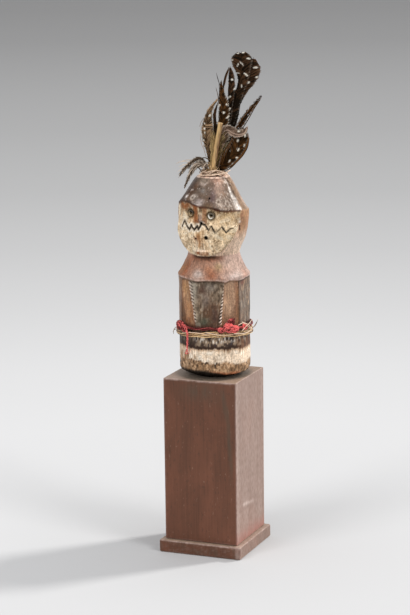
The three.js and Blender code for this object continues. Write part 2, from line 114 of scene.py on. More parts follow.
# Lines that wander round the figure: (angle, height)
RIM = 7
RIM_LINE = (
    (-110, 6.4), (-48, 6.8), (-4, 8.2), (43, 5.4), (75, 5.6), (112, 6.4), (250, 6.4),
)
BROW_LINE = (
    (-110, 169), (-68, 169.6), (-45, 174), (-29, 174.4), (-12, 172), (0, 171.1),
    (20, 169.4), (40, 165.9), (70, 165.3), (112, 163.4), (180, 167), (250, 169),
)
JAW_LINE = (
    (121.2, 14), (122.6, 25), (125, 36), (128.2, 44), (136.5, 54),
    (148, 65), (157, 70), (165, 74), (176, 78),
)
ZIGZAG = (
    (-38, 149), (-34.3, 154.7), (-30.5, 152.5), (-27, 151), (-19.5, 147), (-17, 151.4),
    (-10.6, 147.1), (-5.4, 151), (-3.2, 148), (1.6, 153.4), (7.6, 152.4), (13.8, 147.4),
    (18.5, 151), (23.5, 145), (26.3, 145.2), (35, 150.2), (42, 144.4), (48.5, 147.8), (53.8, 147.9),
)
# Its strokes that are only scratched
FAINT_STROKES = (
    ((-34.3, 154.7), (-30.5, 152.5), (-28, 151.4)), ((14.6, 148), (17.4, 150.2)),
    ((23.5, 145), (26.3, 145.2), (34, 149.6)), ((43, 144.8), (48.5, 147.8), (53.8, 147.9)),
)
BAND_TOP = ((-110, 30.5), (-40, 31), (-19, 29.4), (57, 29.4), (83, 28.4), (250, 30))
BAND_BOTTOM = (
    (-110, 17.6), (-41, 18), (-20, 19.2), (-3.6, 18.4), (12, 16), (24, 16.2),
    (40, 17.4), (58, 14.4), (83, 13.8), (250, 17),
)
LIP_LINE = (
    (-110, 0), (-35, 1.2), (-20, 0.5), (-10, -0.7), (4, 0), (28, 0.2),
    (41, -1.3), (47, 0.5), (60, -0.4), (74, -0.8), (84, 0.3), (250, 0),
)

# Face: eyes as (angle, height), the radius out to them, and holes as (angle, height, radius)
EYES = {"eye_left": (-21, 162.6), "eye_right": (17.5, 160.8)}
SOCKET_RADIUS = 4.7
SOCKET_FLOOR = 30.6
EYE_LEVEL_RADIUS = 33
HOLE_DEPTH = 3.5
# The rings' dark and pale tones, and the turn round the ring where its painted highlight sits
EYE_TONES = {"eye_left": ("33291C", "A8906A", 240), "eye_right": ("5C5242", "E6DED0", 235)}
EYE_RING = {"inner": 1.6, "outer": 3.2, "height": 1.3}
HOLES = ((-7.6, 138.8, 0.8), (9.4, 139.9, 1.7), (14.5, 177.3, 0.9), (0.8, 153.9, 1.2))
NOSE_TIP = 156
NOSE_TOP = 171
NOSE_HALF_ANGLE = 10.5
NOSE_REACH = ((156, 37.6), (171, 35.4))
MOUTH = {"angle": 3.5, "half_angle": 6.5, "bottom": 121.6, "top": 127.2, "reach": 1.2}
EAR_SLIT = {"angle": 70, "height": 147.6, "length": 5.6, "width": 1.3}
NOTCH_PITCH = 3.3
# Half the width of the two rows of notches, by height
NOTCH_STRIP = (
    ((56, 0.4), (60, 1.2), (66, 1.3), (70, 0.2), (74, 1.2), (84, 1.6), (96, 2.1)),
    ((54, 1.9), (62, 1.4), (78, 1), (82, 0.5), (96, 0.1)),
)
NOTCH_SLANT = 35

# Waist
STRAWS = {
    "straw_upper": {"height": 46, "wave": 0.9, "phase": 20, "radius": 1.2, "shade": 0.35},
    "straw_lower": {"height": 43.2, "wave": 0.9, "phase": 40, "radius": 1.3, "shade": 0.7},
}
STRAND_LIFT = 0.75
# Loose ends of straw: points as (angle, height, distance from the axis), and their tones
STRAW_ENDS = (
    ((86, 45.5, 37.6), (92, 46.4, 38.8), (98, 49.6, 40.8), (102, 54.4, 43.2)),
    ((80, 47, 38.4), (88, 47.5, 39.6), (94, 49, 41.4), (99, 52.6, 42.6)),
    ((-56, 45.4, 37.8), (-62, 44.6, 38.8), (-68, 43, 40), (-72, 40.6, 41.2)),
    ((-52, 48.6, 38), (-60, 46.4, 39), (-66, 43.4, 40.2), (-71, 38.6, 40.8)),
    ((-34, 44.4, 37.8), (-18, 46.6, 38.6), (-2, 47, 38.6), (14, 45, 38)),
    ((8, 47.8, 38.2), (24, 46.2, 38.8), (40, 44.8, 38.8), (54, 45.6, 38.2)),
    ((58, 53.4, 38.2), (64, 55.6, 40.4), (72, 53.6, 41.8), (82, 48.4, 40.4)),
    ((63, 47.6, 40), (68, 51.4, 41.6), (76, 54.2, 41.6), (88, 56.2, 39.8)),
    ((66, 56.2, 38.4), (72, 52, 41.2), (79, 48.2, 41.8), (89, 46.4, 40)),
    ((50, 46, 39.6), (62, 45.4, 41.4), (74, 46.2, 41.8), (90, 49.6, 39.8)),
)
STRAW_END_TONES = (0.3, 0.1, 0.3, 0.15, 1.1, 0.9, 1.2, 1, 0.8, 1.3)
YARN = {"height": 50.4, "wave": 0.5, "phase": 30, "radius": 1.2}
# Knots: angle, height, size, threads, tone
YARN_KNOTS = (
    (-37, 52.4, 5.2, 7, 0.35), (-28, 50, 4.2, 5, 0.45), (32, 49.8, 3.2, 3, 0.7),
    (42, 52.6, 4.8, 6, 0.9), (53, 50.6, 4, 5, 1.1), (47, 58, 3.4, 4, -0.1), (72, 50.6, 3.4, 3, 1.0),
)
# Tail: (angle, height, distance from the axis)
YARN_TAIL = (
    (-24, 50, 38.8), (-20.6, 46, 39.6), (-22.8, 37, 38), (-25.5, 30, 36.8), (-27.5, 24, 36.2),
)

# Tuft: (across, up from the crown's top, towards the front), turned about Z
TUFT_TURN = 22
BINDING = {"inner": 8.2, "outer": 13.4, "height": 4.6}
# Straws laid across the binding's front: both ends in the tuft's frame, then the tone
LAID_STRAWS = (
    (-13.6, 1.2, 8, 3.4, 6.4, 10.6, 1.2), (-4.7, 2.6, 12, 3.8, 5.8, 10, 0.9),
    (2.5, 6.2, 11, 15.4, 1, 9, 0.7), (3.8, 3.9, 12.4, 9.9, 1.7, 11.4, 0.5),
    (11.8, 2.4, 9, 16.5, 5.4, 6, 0.9), (-13, 0.9, 9, 2.4, 1.3, 13.4, 1.3),
    (-7.5, 2, 11.4, -0.4, 5.4, 11, 0.3), (-10.4, 3, 9.6, -2, 2.4, 12.4, 0.1),
    (5, 2.6, 12.6, 14, 2.8, 9, 1.1), (-12, 2.8, 7.4, -6.6, 5.4, 9.6, 0.8),
    (-1, 2.4, 13.2, 8, 1.2, 12.4, 1), (7, 5, 10.6, 13.4, 3.4, 7.6, 0.2),
)
CANE = {"foot": (-1.1, 0.9, 4.9), "head": (7.8, 51.8, 11.6), "radius": (2.5, 2.35)}

# Each feather: its spine, its vane as (share of the length, half width to the left, to
# the right), its white spots as (share, millimetres across, half length, half width,
# degrees of tilt), its stray strands as (radius, shade, ((share, across), ...)), and how
# its barbs lie: how many a side, how loose, how far they lean to the tip. web is how
# much of its width the barbs hold together as one sheet.
FEATHERS = {
    "feather_tall_front": {
        "spine": ((1.2, 0.9, -5), (8.5, 27, -5.6), (17, 52, -5.8), (24, 76, -6.4),
                  (27.6, 92, -7.6), (28.6, 105, -9.4), (29, 118, -12)),
        "vane": ((0.1, 0.8, 0.8), (0.22, 3.6, 3.8), (0.5, 4.8, 4.8), (0.66, 5, 5.4), (0.7, 2.3, 5.8),
                 (0.77, 2.3, 7.2), (0.83, 4.8, 8.4), (0.88, 8.6, 9.4), (0.93, 10.5, 10.6),
                 (0.96, 10.6, 10.6), (0.985, 9, 9), (1, 6.6, 6.8)),
        "spots": ((0.992, 1.1, 0.9, 1.7), (0.985, -3.7, 0.5, 1.4), (0.945, 6.5, 0.9, 2.3, 8),
                  (0.93, -8.7, 0.9, 0.6, 30), (0.892, -3.6, 2, 0.55, 20), (0.905, -0.1, 2.9, 0.6, -40),
                  (0.827, -3.6, 0.4, 2.4), (0.82, 4.7, 2.8, 0.8, -60), (0.729, 2, 1.6, 0.6, -20)),
        "barbs": 200, "loose": 0.2, "lean": 0.9, "tone": "black", "web": 0.97,
    },
    "feather_tall_back": {
        "spine": ((3.8, 0.9, -4), (5.8, 9, -5.2), (11.2, 26, -9.6), (17, 49, -12),
                  (23.4, 69, -12.6), (30.5, 86, -13.2), (36.6, 100, -14.6), (40.2, 111.6, -17)),
        "vane": ((0.12, 0.8, 0.8), (0.24, 3.4, 3.8), (0.44, 4.8, 6.6), (0.52, 4.8, 6.2), (0.6, 4.6, 4.6),
                 (0.69, 4.6, 5.6), (0.74, 4.4, 7), (0.79, 4.6, 9), (0.86, 6.5, 10.8), (0.9, 8, 10.8),
                 (0.94, 8, 9.6), (0.98, 6, 6), (1, 3.6, 3.6)),
        "spots": ((0.927, 4.5, 0.95, 2.6, -17), (0.862, 8.7, 1.1, 1.1), (0.797, 3.5, 1.6, 1.2, 20),
                  (0.684, 1.8, 2, 0.7, -52), (0.579, 0.8, 2.9, 0.45, -56)),
        "barbs": 190, "loose": 0.25, "lean": 1.0, "tone": "black", "web": 0.96,
    },
    "feather_narrow": {
        "spine": ((1.3, 0.9, -2.2), (7.5, 27, -2.8), (12.5, 50, -2.8), (16.4, 72, -2.4),
                  (18.2, 88, -1.4), (17.6, 105, 1.4)),
        "vane": ((0.12, 0.8, 0.8), (0.26, 3.4, 3.6), (0.52, 4.8, 4.6), (0.62, 4.6, 4.2), (0.66, 2.4, 4),
                 (0.7, 1.2, 4), (0.78, 2.7, 4), (0.87, 2.5, 3.7), (0.94, 1.9, 2.8), (1, 0.5, 0.5)),
        "spots": ((0.877, 0.9, 1.1, 1.4), (0.794, 3.4, 1.4, 0.6, 40), (0.717, -0.2, 1.7, 0.9, 22),
                  (0.644, -2.1, 0.9, 0.8), (0.614, 1.8, 0.9, 0.8)),
        "strands": (
            (0.8, 0.2, ((0.995, -1.2), (0.942, -4), (0.855, -6.8), (0.774, -6.9), (0.702, -5.2),
                        (0.63, -2))),
            (0.45, 1.0, ((0.99, -0.6), (0.942, -3), (0.87, -5.4), (0.82, -6))),
            (0.34, 0.1, ((0.95, -13.7), (0.867, -12), (0.792, -9.4), (0.7, -6.6))),
            (0.4, 0, ((0.877, -9.1), (0.772, -8.2), (0.68, -7.8))),
        ),
        "barbs": 160, "loose": 0.4, "lean": 1.6, "tone": "black", "web": 0.95,
    },
    "feather_brown": {
        "spine": ((-1.4, 0.9, -2.8), (4, 27, -0.8), (8.2, 48, -0.2), (9.8, 64, 0.6),
                  (9.4, 78, 1.2), (8.4, 91, 0.4)),
        "vane": ((0.16, 0.8, 0.8), (0.32, 3, 3.8), (0.52, 3.2, 6.4), (0.68, 3.5, 7.4), (0.8, 4, 5.2),
                 (0.88, 2.4, 2.6), (1, 0.6, 0.6)),
        "spots": ((0.744, -2.9, 1.7, 1, 25), (0.669, 1.1, 1.1, 1.6), (0.752, 3.8, 0.9, 0.8),
                  (0.624, 5.2, 1.9, 0.8, 35), (0.712, 7, 0.9, 0.7)),
        "strands": (
            (0.3, 0.1, ((0.82, -3.4), (0.9, -2.2), (0.99, -1.8))),
            (0.3, 0.4, ((0.76, -3.6), (0.85, -4), (0.94, -5.2))),
        ),
        "barbs": 160, "loose": 0.45, "lean": 1.4, "tone": "umber", "web": 0.95,
    },
    "feather_loop": {
        "spine": ((1.4, 0.9, 1.8), (1.6, 30, 4.6), (2.6, 48, 5.4), (2.2, 60, 5.2), (5.4, 71, 4.4)),
        "vane": ((0.5, 0.7, 0.7), (0.66, 1.7, 1.7), (0.84, 1.5, 1.5), (1, 0.4, 0.4)),
        "barbs": 50, "loose": 0.3, "lean": 2, "tone": "black", "web": 0.9,
    },
    "feather_curled_left": {
        "spine": ((-3.3, 0.9, -0.2), (-3.4, 14, 2), (-5, 29, 3), (-6.6, 42, 3.2),
                  (-5.4, 54, 3.2), (-1, 65, 3.2), (5.4, 74.6, 3)),
        "vane": ((0.08, 0.8, 1.5), (0.2, 1.2, 4), (0.32, 2.2, 6), (0.45, 4.2, 7.8), (0.57, 4.6, 7.8),
                 (0.69, 3.3, 6.4), (0.76, 3, 4), (0.82, 2.8, 1.9), (0.9, 1.6, 1), (1, 0.5, 0.5)),
        "spots": ((0.762, 1.4, 1.6, 1, 20), (0.589, -1.2, 1.3, 1), (0.534, -0.7, 1.4, 0.9, -20),
                  (0.45, -2.6, 1.2, 0.7), (0.65, -1.6, 1, 0.7)),
        "strands": (
            (0.45, 1.4, ((0.845, -2.2), (0.917, -0.7), (1.0, -0.1))),
            (0.35, 1.2, ((0.787, -2.8), (0.875, -1.4), (0.965, 0.3))),
            (0.5, 1.3, ((0.637, -2), (0.634, 5.8), (0.659, 12.4))),
            (0.45, 1.1, ((0.619, -0.9), (0.657, 5.6), (0.719, 12.2))),
            (0.35, 0.9, ((0.6, -2.6), (0.61, 4), (0.6, 10.4))),
            (0.22, 0.5, ((0.709, -3.4), (0.659, -5), (0.604, -6.1))),
            (0.22, 0.9, ((0.524, -5), (0.444, -5.6), (0.336, -4.3))),
            (0.26, 0.2, ((0.892, -1.1), (0.782, -1.1), (0.654, -1.7))),
            (0.22, 0.6, ((0.4, -3.8), (0.3, -3.6), (0.2, -2.2))),
        ),
        "barbs": 190, "loose": 0.8, "lean": 1.2, "tone": "buff", "web": 0.85,
    },
    "feather_down": {
        "spine": ((-0.4, 0.9, 0.2), (3.4, 17, 1.2), (5.2, 33, 1.4), (6.2, 50, 1.6)),
        "vane": ((0.02, 2, 2), (0.12, 4.6, 3.8), (0.2, 6.2, 5), (0.36, 8, 6.6), (0.54, 8.4, 8.8),
                 (0.74, 8.4, 9.6), (0.93, 6, 8.9), (1, 3, 4)),
        "barbs": 230, "loose": 1.4, "lean": 0.9, "tone": "down", "web": 0.85,
    },
    "feather_folded": {
        "spine": ((3.4, 0.9, 3.2), (8.2, 22, 5.8), (10.6, 38, 7.2), (13.8, 45.4, 8.2),
                  (18.5, 45, 9.6), (24.4, 42.4, 10.8), (29.6, 43.6, 10.4), (34, 48.2, 9.4)),
        "vane": ((0.42, 0.8, 0.8), (0.5, 2.2, 4), (0.58, 4.6, 6), (0.67, 4.2, 5.6), (0.74, 3, 5.6),
                 (0.82, 2.4, 5.4), (0.9, 2, 3.2), (1, 0.6, 0.8)),
        "spots": ((0.84, -0.8, 1.8, 1.2, 10),),
        "strands": (
            (0.4, 1.1, ((0.58, -3), (0.68, 0.6), (0.78, 2.4), (0.9, 1.8), (1.0, -0.6))),
            (0.35, 0.9, ((0.56, 0), (0.66, 3), (0.76, 4.6), (0.87, 3.6), (0.97, 1.2))),
            (0.35, 0.1, ((0.6, -4.6), (0.7, -1.4), (0.8, 0.8), (0.92, 0.4))),
        ),
        "barbs": 170, "loose": 0.7, "lean": 1.8, "tone": "rose", "web": 0.9,
    },
    "feather_spotted_right": {
        "spine": ((5, 0.9, 1.2), (6.4, 6.4, 2), (13, 13.6, 3.6), (21.6, 22.2, 4.6),
                  (27, 33, 5), (29.6, 46, 4.4)),
        "vane": ((0.01, 1.4, 3), (0.08, 2.4, 4.6), (0.19, 4.4, 6.2), (0.33, 7.2, 6.7), (0.48, 9, 6.2),
                 (0.61, 9.6, 6.8), (0.73, 9.2, 6.8), (0.86, 7.4, 5.8), (0.95, 4, 3.6), (1, 1.2, 1.6)),
        "spots": ((0.872, 2.7, 1.8, 1), (0.754, -2.9, 1.8, 1.2), (0.709, 4.5, 1.5, 0.9),
                  (0.602, 0.6, 1.8, 1.3), (0.501, -5, 2.2, 0.4), (0.474, 4.5, 1.1, 1.4),
                  (0.343, 1.6, 1.8, 0.8, -20), (0.353, 6, 1.5, 1.1)),
        "strands": (
            (0.95, 1.5, ((0.927, 4.9), (0.827, 6.2), (0.704, 6.9), (0.571, 6.6), (0.441, 6.4),
                         (0.268, 6.2))),
            (0.55, 0, ((0.85, 7.2), (0.7, 7.8), (0.56, 7.4), (0.43, 7), (0.25, 7), (0.08, 4.8))),
            (0.55, 1.3, ((0.93, -6.5), (0.697, -9), (0.388, -8.1), (0.15, -1.6))),
            (0.4, 0.9, ((0.732, -7.6), (0.396, -6.4), (0.173, -0.1))),
        ),
        "barbs": 170, "loose": 0.2, "lean": 1.1, "tone": "umber", "web": 0.96,
    },
    "feather_pointed": {
        "spine": ((4.2, 0.9, -2), (12, 15, -5), (18.6, 33, -6.8), (26.4, 49, -7.4),
                  (36, 62.6, -8), (47.6, 76, -8.8)),
        "vane": ((0.36, 0.9, 1.4), (0.5, 2.2, 4.2), (0.6, 2.2, 5), (0.73, 1.8, 4.4), (0.84, 1.2, 2.7),
                 (0.93, 0.7, 1.7), (1, 0.3, 0.6)),
        "strands": (
            (0.55, 0, ((0.997, 0.8), (0.895, 0.9), (0.782, 0.9), (0.652, 1.3), (0.5, 0.9))),
            (0.45, 0.2, ((0.957, 1.9), (0.842, 2.9), (0.732, 4.4), (0.581, 4.6), (0.45, 3))),
            (0.35, 1.6, ((0.985, 1.4), (0.88, 1.9), (0.76, 2.8), (0.64, 3.2), (0.52, 2.4))),
            (0.4, 1.3, ((0.87, 0.2), (0.754, -0.2), (0.62, -0.6), (0.5, -1))),
        ),
        "barbs": 60, "loose": 1.1, "lean": 3.2, "tone": "umber", "web": 0,
    },
    "feather_drooping": {
        "spine": ((-5.8, 0.9, -0.2), (-6.8, 8.4, 3), (-9.4, 15.6, 7), (-14, 18.2, 10),
                  (-20.4, 15.2, 11.8), (-26.6, 9.8, 12.8), (-32.4, 1.8, 13.2)),
        "vane": ((0.16, 1, 0.8), (0.3, 3.4, 1), (0.42, 6.4, 1.1), (0.56, 6.6, 1.1), (0.7, 4.4, 1),
                 (0.8, 2.4, 0.9), (0.9, 1.2, 0.7), (1, 0.4, 0.4)),
        "strands": (
            (0.65, -0.6, ((0.3, 1), (0.42, 0.5), (0.55, 0), (0.7, 0), (0.85, 0), (1.0, 0))),
            (0.3, 0.9, ((0.664, 0.2), (0.719, 4.3), (0.787, 7.4), (0.847, 9.2))),
            (0.3, 1.2, ((0.689, -1.3), (0.774, 2.8), (0.86, 5.1))),
            (0.28, 0.6, ((0.561, -1.1), (0.664, 3.5), (0.752, 6.6))),
            (0.26, 1.1, ((0.747, -1.3), (0.855, 1.8), (0.96, 3.5))),
            (0.5, -0.3, ((0.424, 1.1), (0.363, 3.3), (0.303, 5.1))),
        ),
        "barbs": 130, "loose": 0.9, "lean": 3.2, "tone": "ash", "web": 0,
    },
    "feather_drooping_low": {
        "spine": ((-5, 0.9, 2.4), (-5.2, 6.4, 4.4), (-9, 12.6, 12.4), (-14.6, 12.8, 16.4),
                  (-20.4, 6.6, 17.4), (-24.6, -1.8, 17.6), (-27.8, -10, 17.4)),
        "vane": ((0.16, 2.4, 1.6), (0.3, 4.8, 2.4), (0.46, 4, 3), (0.6, 2, 2.6), (0.74, 1.2, 1.6),
                 (0.86, 0.8, 1), (1, 0.4, 0.4)),
        "strands": (
            (0.5, -0.5, ((0.5, 0), (0.62, 0), (0.75, 0), (0.88, 0), (1.0, 0))),
            (0.65, -0.6, ((0.499, -1.4), (0.494, -4.5), (0.486, -8))),
            (0.3, 1.2, ((0.306, 2.8), (0.331, -1.9), (0.34, -5))),
            (0.3, 0.3, ((0.622, 0.5), (0.739, -0.7), (0.83, -2.1))),
            (0.28, 1, ((0.569, 0.1), (0.652, 1.1), (0.774, 1.1))),
        ),
        "barbs": 120, "loose": 0.9, "lean": 3.2, "tone": "ash", "web": 0,
    },
}
# Feather tones: the vane's colour, the colour of its paler barbs, and its record slot
TONES = {
    "black": ("0E0804", "573C28", "spotted_feather"),
    "umber": ("180C03", "5F3E20", "spotted_feather"),
    "buff": ("38281A", "AE8D6C", "buff_feather"),
    "down": ("4A3820", "CDB07C", "buff_feather"),
    "ash": ("4E4034", "DEC9B4", "dark_feather"),
    "rose": ("503C2E", "BDA28F", "buff_feather"),
}

# Marks on the plinth's stain, some of them painted light and shadow: the attribute, its tone, and the most
# of it
PLINTH_MARKS = (
    ("grime", "3C3428", 0.6), ("dust", "9C8674", 0.75), ("wear", "BAA49C", 0.9),
    # foot is a painted contact shadow round the figure
    ("flush", "9C4A40", 0.7), ("foot", "0A0604", 1),
)

# Studio floor with a painted fall-off of light: (metres from the object, share of the
# paper's own brightness), and the metres from its middle to a side
FLOOR_PAINTED_FALLOFF = (
    (0, 0.845), (0.25, 0.905), (0.5, 0.905), (0.8, 0.86), (1.2, 0.76), (1.7, 0.655),
    (2.4, 0.55), (3.45, 0.465), (5.1, 0.38), (6.3, 0.325), (8.1, 0.285), (14, 0.24),
)
FLOOR_REACH = 30
# Suns: the setting of its strength, azimuth, elevation, angular width and colour
SUNS = {
    "key": ("key", 136, 38, 9, (1, 0.985, 0.96)),
    "fill_left": ("fill", -25, 42, 24, (1, 0.99, 0.98)),
    "fill_right": ("fill", 69, 40, 20, (1, 0.99, 0.98)),
}
ROOM_AIR = (0.97, 0.985, 1, 1)

# Camera: fitted to the plinth's corners in a frame of 410 by 615
CAMERA = {"azimuth": 22.18, "elevation": 11.6, "roll": -0.69, "distance": 2172.1,
          "aside": -10.7, "above": 236.4, "focal": 2168, "long_side": 615}
SENSOR = 36


def rgb(code):
    """The linear colour of an sRGB hex code."""
    parts = [int(code[i:i + 2], 16) / 255 for i in (0, 2, 4)]
    return tuple(c / 12.92 if c <= 0.04045 else ((c + 0.055) / 1.055) ** 2.4 for c in parts)


def mix(a, b, share):
    return a + (b - a) * share


def smooth(x, low, high):
    """0 below low, 1 above high, and an S-curve between: 3t^2 - 2t^3."""
    t = np.clip((x - low) / (high - low), 0, 1)
    return t * t * (3 - 2 * t)


def fade(x, low, high):
    """1 below low and 0 above high, with the same S-curve."""
    return 1 - smooth(x, low, high)


def between(x, low, full, falling, high):
    """0 below low, 1 from full to falling, and 0 above high."""
    return smooth(x, low, full) * fade(x, falling, high)


def hump(x, width, power=2):
    """A bell that is 1 at 0: e^-(x / width)^power, flatter on top for a higher power."""
    return np.exp(-((x / width) ** power))


def drawn_up(points, share):
    """The points squashed in height, so that a pattern on them runs up the grain."""
    return points * np.array([1, 1, share])


def along(profile, x):
    """Straight lines between the profile's points."""
    points = np.asarray(profile, float)
    return np.interp(x, points[:, 0], points[:, 1])


def turned(angle, start):
    """The same angle, brought to within one turn from start."""
    return start + (angle - start) % 360


def around(line, angle):
    """The height of a line that wanders round the figure, at each angle."""
    return along(line, turned(angle, line[0][0]))


def facet(corners, angle):
    """Flat facets as a share of the circle through their corners.

    Between two corners the share is cos(half the gap) / cos(angle from the middle).
    """
    a = turned(angle, corners[0])
    cut = np.ones_like(a)
    ends = [*corners, corners[0] + 360]
    for low, high in zip(ends, ends[1:]):
        off = np.clip(a - (high + low) / 2, -60, 60)
        share = np.cos(np.radians((high - low) / 2)) / np.cos(np.radians(off))
        cut = np.where((a >= low) & (a <= high), share, cut)
    return cut


def noise(points, size, seed):
    """Smooth random hills between -1 and 1, about one every size.

    Each whole-numbered point of a grid has a random height, the fraction of a large
    sine of its place, and an S-curve joins them along each axis.
    """
    scaled = points / size
    whole = np.floor(scaled)
    part = scaled - whole
    part = part * part * (3 - 2 * part)
    total = 0
    for corner in np.ndindex(2, 2, 2):
        step = np.array(corner)
        spot = whole + step
        wave = np.sin(spot @ np.array([127.1, 311.7, 74.7]) + seed * 53.3) * 43758.5453
        weight = np.prod(np.where(step, part, 1 - part), axis=-1)
        total = total + weight * (wave - np.floor(wave))
    return total * 2 - 1


def rough(points, size, seed):
    """Hills with two finer sizes on them, each half as high as the last."""
    return sum(noise(points, size / 2 ** k, seed + k) / 2 ** k for k in range(3)) / 1.75


def trunk_corners(height):
    share = np.clip((height - 50) / (SHOULDER_HEIGHT - 50), 0, 1)
    return [low + (high - low) * share for low, high in TRUNK_CORNERS]


def trunk_radius(angle, height):
    """The trunk's profile, cut by facets that fade out low down."""
    flatness = mix(0.55, 1, smooth(height, 30, 56))
    cut = mix(1, facet(trunk_corners(height), angle), flatness)
    return along(UNDERSIDE, height * RIM / around(RIM_LINE, angle)) * mix(1, cut, smooth(height, 2, 16))


def shoulder_radius(angle, height):
    flatness = 0.75 * between(height, 99, 104, 110, 120)
    return along(SHOULDER, height) * mix(1, facet(SHOULDER_CORNERS, angle), flatness)


def head_radius(angle, height):
    """The head's side profile, with the face's own in front of the jaw's edge."""
    a = turned(angle, -180)
    edge = along(JAW_LINE, height)
    face = fade(np.abs(a), edge - 5, edge + 4)
    keel = np.maximum(0, 1 - np.abs(a) / NOSE_HALF_ANGLE) ** 0.8
    keel = keel * smooth(height, NOSE_TIP - 0.6, NOSE_TIP + 0.4) * (height < NOSE_TOP + 3)
    nose = (along(NOSE_REACH, height) - along(FACE_FRONT, height)) * keel
    off = np.abs(a - MOUTH["angle"])
    mouth = fade(off, MOUTH["half_angle"] - 1.5, MOUTH["half_angle"] + 1)
    mouth = mouth * smooth(height, MOUTH["bottom"] - 0.6, MOUTH["bottom"] + 0.6)
    mouth = mouth * fade(height, MOUTH["top"] - 1, MOUTH["top"] + 0.4)
    return mix(along(HEAD_SIDE, height), along(FACE_FRONT, height), face) + nose + MOUTH["reach"] * mouth


def crown_radius(angle, height):
    """A cone of facets from the brow to the flat top, rounder in front."""
    a = turned(angle, -180)
    brow = around(BROW_LINE, angle)
    share = (height - brow) / (FIGURE_HEIGHT - brow)
    front = np.cos(np.radians(np.clip(a, -90, 90))) ** 2
    cone = mix(along(CROWN_SIDE, share), along(CROWN_FRONT, share), front)
    flatness = mix(0.9, 0.3, between(a, -70, -40, 50, 70))
    return cone * mix(1, facet(CROWN_CORNERS, angle), flatness)


def on_figure(angle, height, radius):
    """Points at a turn, a height and a distance from the figure's axis."""
    a = np.radians(angle)
    x, y = FIGURE_X + radius * np.sin(a), FIGURE_Y - radius * np.cos(a)
    return np.stack(np.broadcast_arrays(x, y, FIGURE_Z + height), axis=-1)


def tuft_point(point):
    """Points of the tuft's own frame in the model's."""
    across, up, towards = np.moveaxis(np.asarray(point, float), -1, 0)
    cos, sin = math.cos(math.radians(TUFT_TURN)), math.sin(math.radians(TUFT_TURN))
    x = FIGURE_X + across * cos + towards * sin
    y = FIGURE_Y + across * sin - towards * cos
    return np.stack([x, y, CROWN_TOP + up], axis=-1)


def unit(vectors):
    return vectors / np.linalg.norm(vectors, axis=-1, keepdims=True)


def smooth_path(points, count):
    """A curve through the points, as count points at even lengths along it.

    Between two points it is the cubic that takes its slope at each from its neighbours.
    """
    points = np.asarray(points, float)
    at = np.r_[0, np.cumsum(np.linalg.norm(np.diff(points, axis=0), axis=1))]
    slope = np.gradient(points, at, axis=0)
    fine = np.linspace(0, at[-1], 1200)
    i = np.clip(np.searchsorted(at, fine) - 1, 0, len(at) - 2)
    gap = (at[i + 1] - at[i])[:, None]
    t = (fine - at[i])[:, None] / gap
    curve = points[i] * (2 * t ** 3 - 3 * t ** 2 + 1) + points[i + 1] * (3 * t ** 2 - 2 * t ** 3)
    curve = curve + slope[i] * gap * (t ** 3 - 2 * t ** 2 + t) + slope[i + 1] * gap * (t ** 3 - t ** 2)
    run = np.r_[0, np.cumsum(np.linalg.norm(np.diff(curve, axis=0), axis=1))]
    even = np.linspace(0, run[-1], count)
    return np.stack([np.interp(even, run, curve[:, k]) for k in range(3)], axis=-1)


def skin_faces(tubes, rows, sides, loop=False):
    """Quads over tubes of rings: side walls, and flat ends zipped shut across.

    With loop, the last ring joins the first and there are no ends.
    """
    row, side = np.meshgrid(np.arange(rows if loop else rows - 1), np.arange(sides), indexing="ij")
    after, turn = (row + 1) % rows, (side + 1) % sides
    near, far = row * sides, after * sides
    faces = np.stack([near + side, near + turn, far + turn, far + side], -1).reshape(-1, 4)
    if not loop:
        step = np.arange(sides // 2 - 1)
        zip_shut = np.stack([step, sides - 1 - step, sides - 2 - step, step + 1], -1)
        far_end = (rows - 1) * sides + zip_shut[:, ::-1]
        faces = np.concatenate([faces, zip_shut, far_end])
    starts = np.arange(tubes)[:, None, None] * (rows * sides)
    return (faces[None] + starts).reshape(-1, 4)


def rings_round(paths, radius, sides, flat=1.0, lean=None):
    """Round rings along paths of shape (tubes, rows, 3).

    Each ring stands square to the path. flat squashes it along the second of its two
    axes, and lean is the direction that the second axis keeps closest to.
    """
    tangent = unit(np.gradient(paths, axis=-2))
    hint = np.array([0.31, 0.17, 0.93]) if lean is None else lean
    first = unit(np.cross(np.broadcast_to(hint, tangent.shape), tangent))
    second = np.cross(tangent, first)
    turn = np.arange(sides) * 2 * np.pi / sides
    radius = np.broadcast_to(radius, paths.shape[:-1])[..., None, None]
    ring = first[..., None, :] * np.cos(turn)[:, None]
    ring = ring + second[..., None, :] * (np.sin(turn) * flat)[:, None]
    return paths[..., None, :] + ring * radius


def build(name, points, faces, material, values, replaces=()):
    """A mesh object of the points in millimetres.

    values maps an attribute's name to one number or one colour for every point.
    """
    points = points.reshape(-1, 3)
    mesh = bpy.data.meshes.new(name)
    mesh.vertices.add(len(points))
    mesh.vertices.foreach_set("co", (points * MM).astype(np.float32).ravel())
    mesh.loops.add(faces.size)
    mesh.loops.foreach_set("vertex_index", faces.astype(np.int32).ravel())
    mesh.polygons.add(len(faces))
    mesh.polygons.foreach_set("loop_start", np.arange(len(faces), dtype=np.int32) * 4)
    mesh.update(calc_edges=True)
    mesh.shade_smooth()
    for key, value in values.items():
        value = np.asarray(value, np.float32)
        if value.size == points.size:
            colour = np.concatenate([value.reshape(-1, 3), np.ones((len(points), 1), np.float32)], axis=1)
            mesh.attributes.new(key, "FLOAT_COLOR", "POINT").data.foreach_set("color", colour.ravel())
        else:
            mesh.attributes.new(key, "FLOAT", "POINT").data.foreach_set("value", value.ravel())
    if mesh.validate():
        raise RuntimeError(f"{name} has faulty faces")
    mesh.materials.append(material)
    piece = bpy.data.objects.new(name, mesh)
    bpy.context.scene.collection.objects.link(piece)
    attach(piece, "root")
    if replaces:
        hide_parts(*replaces)


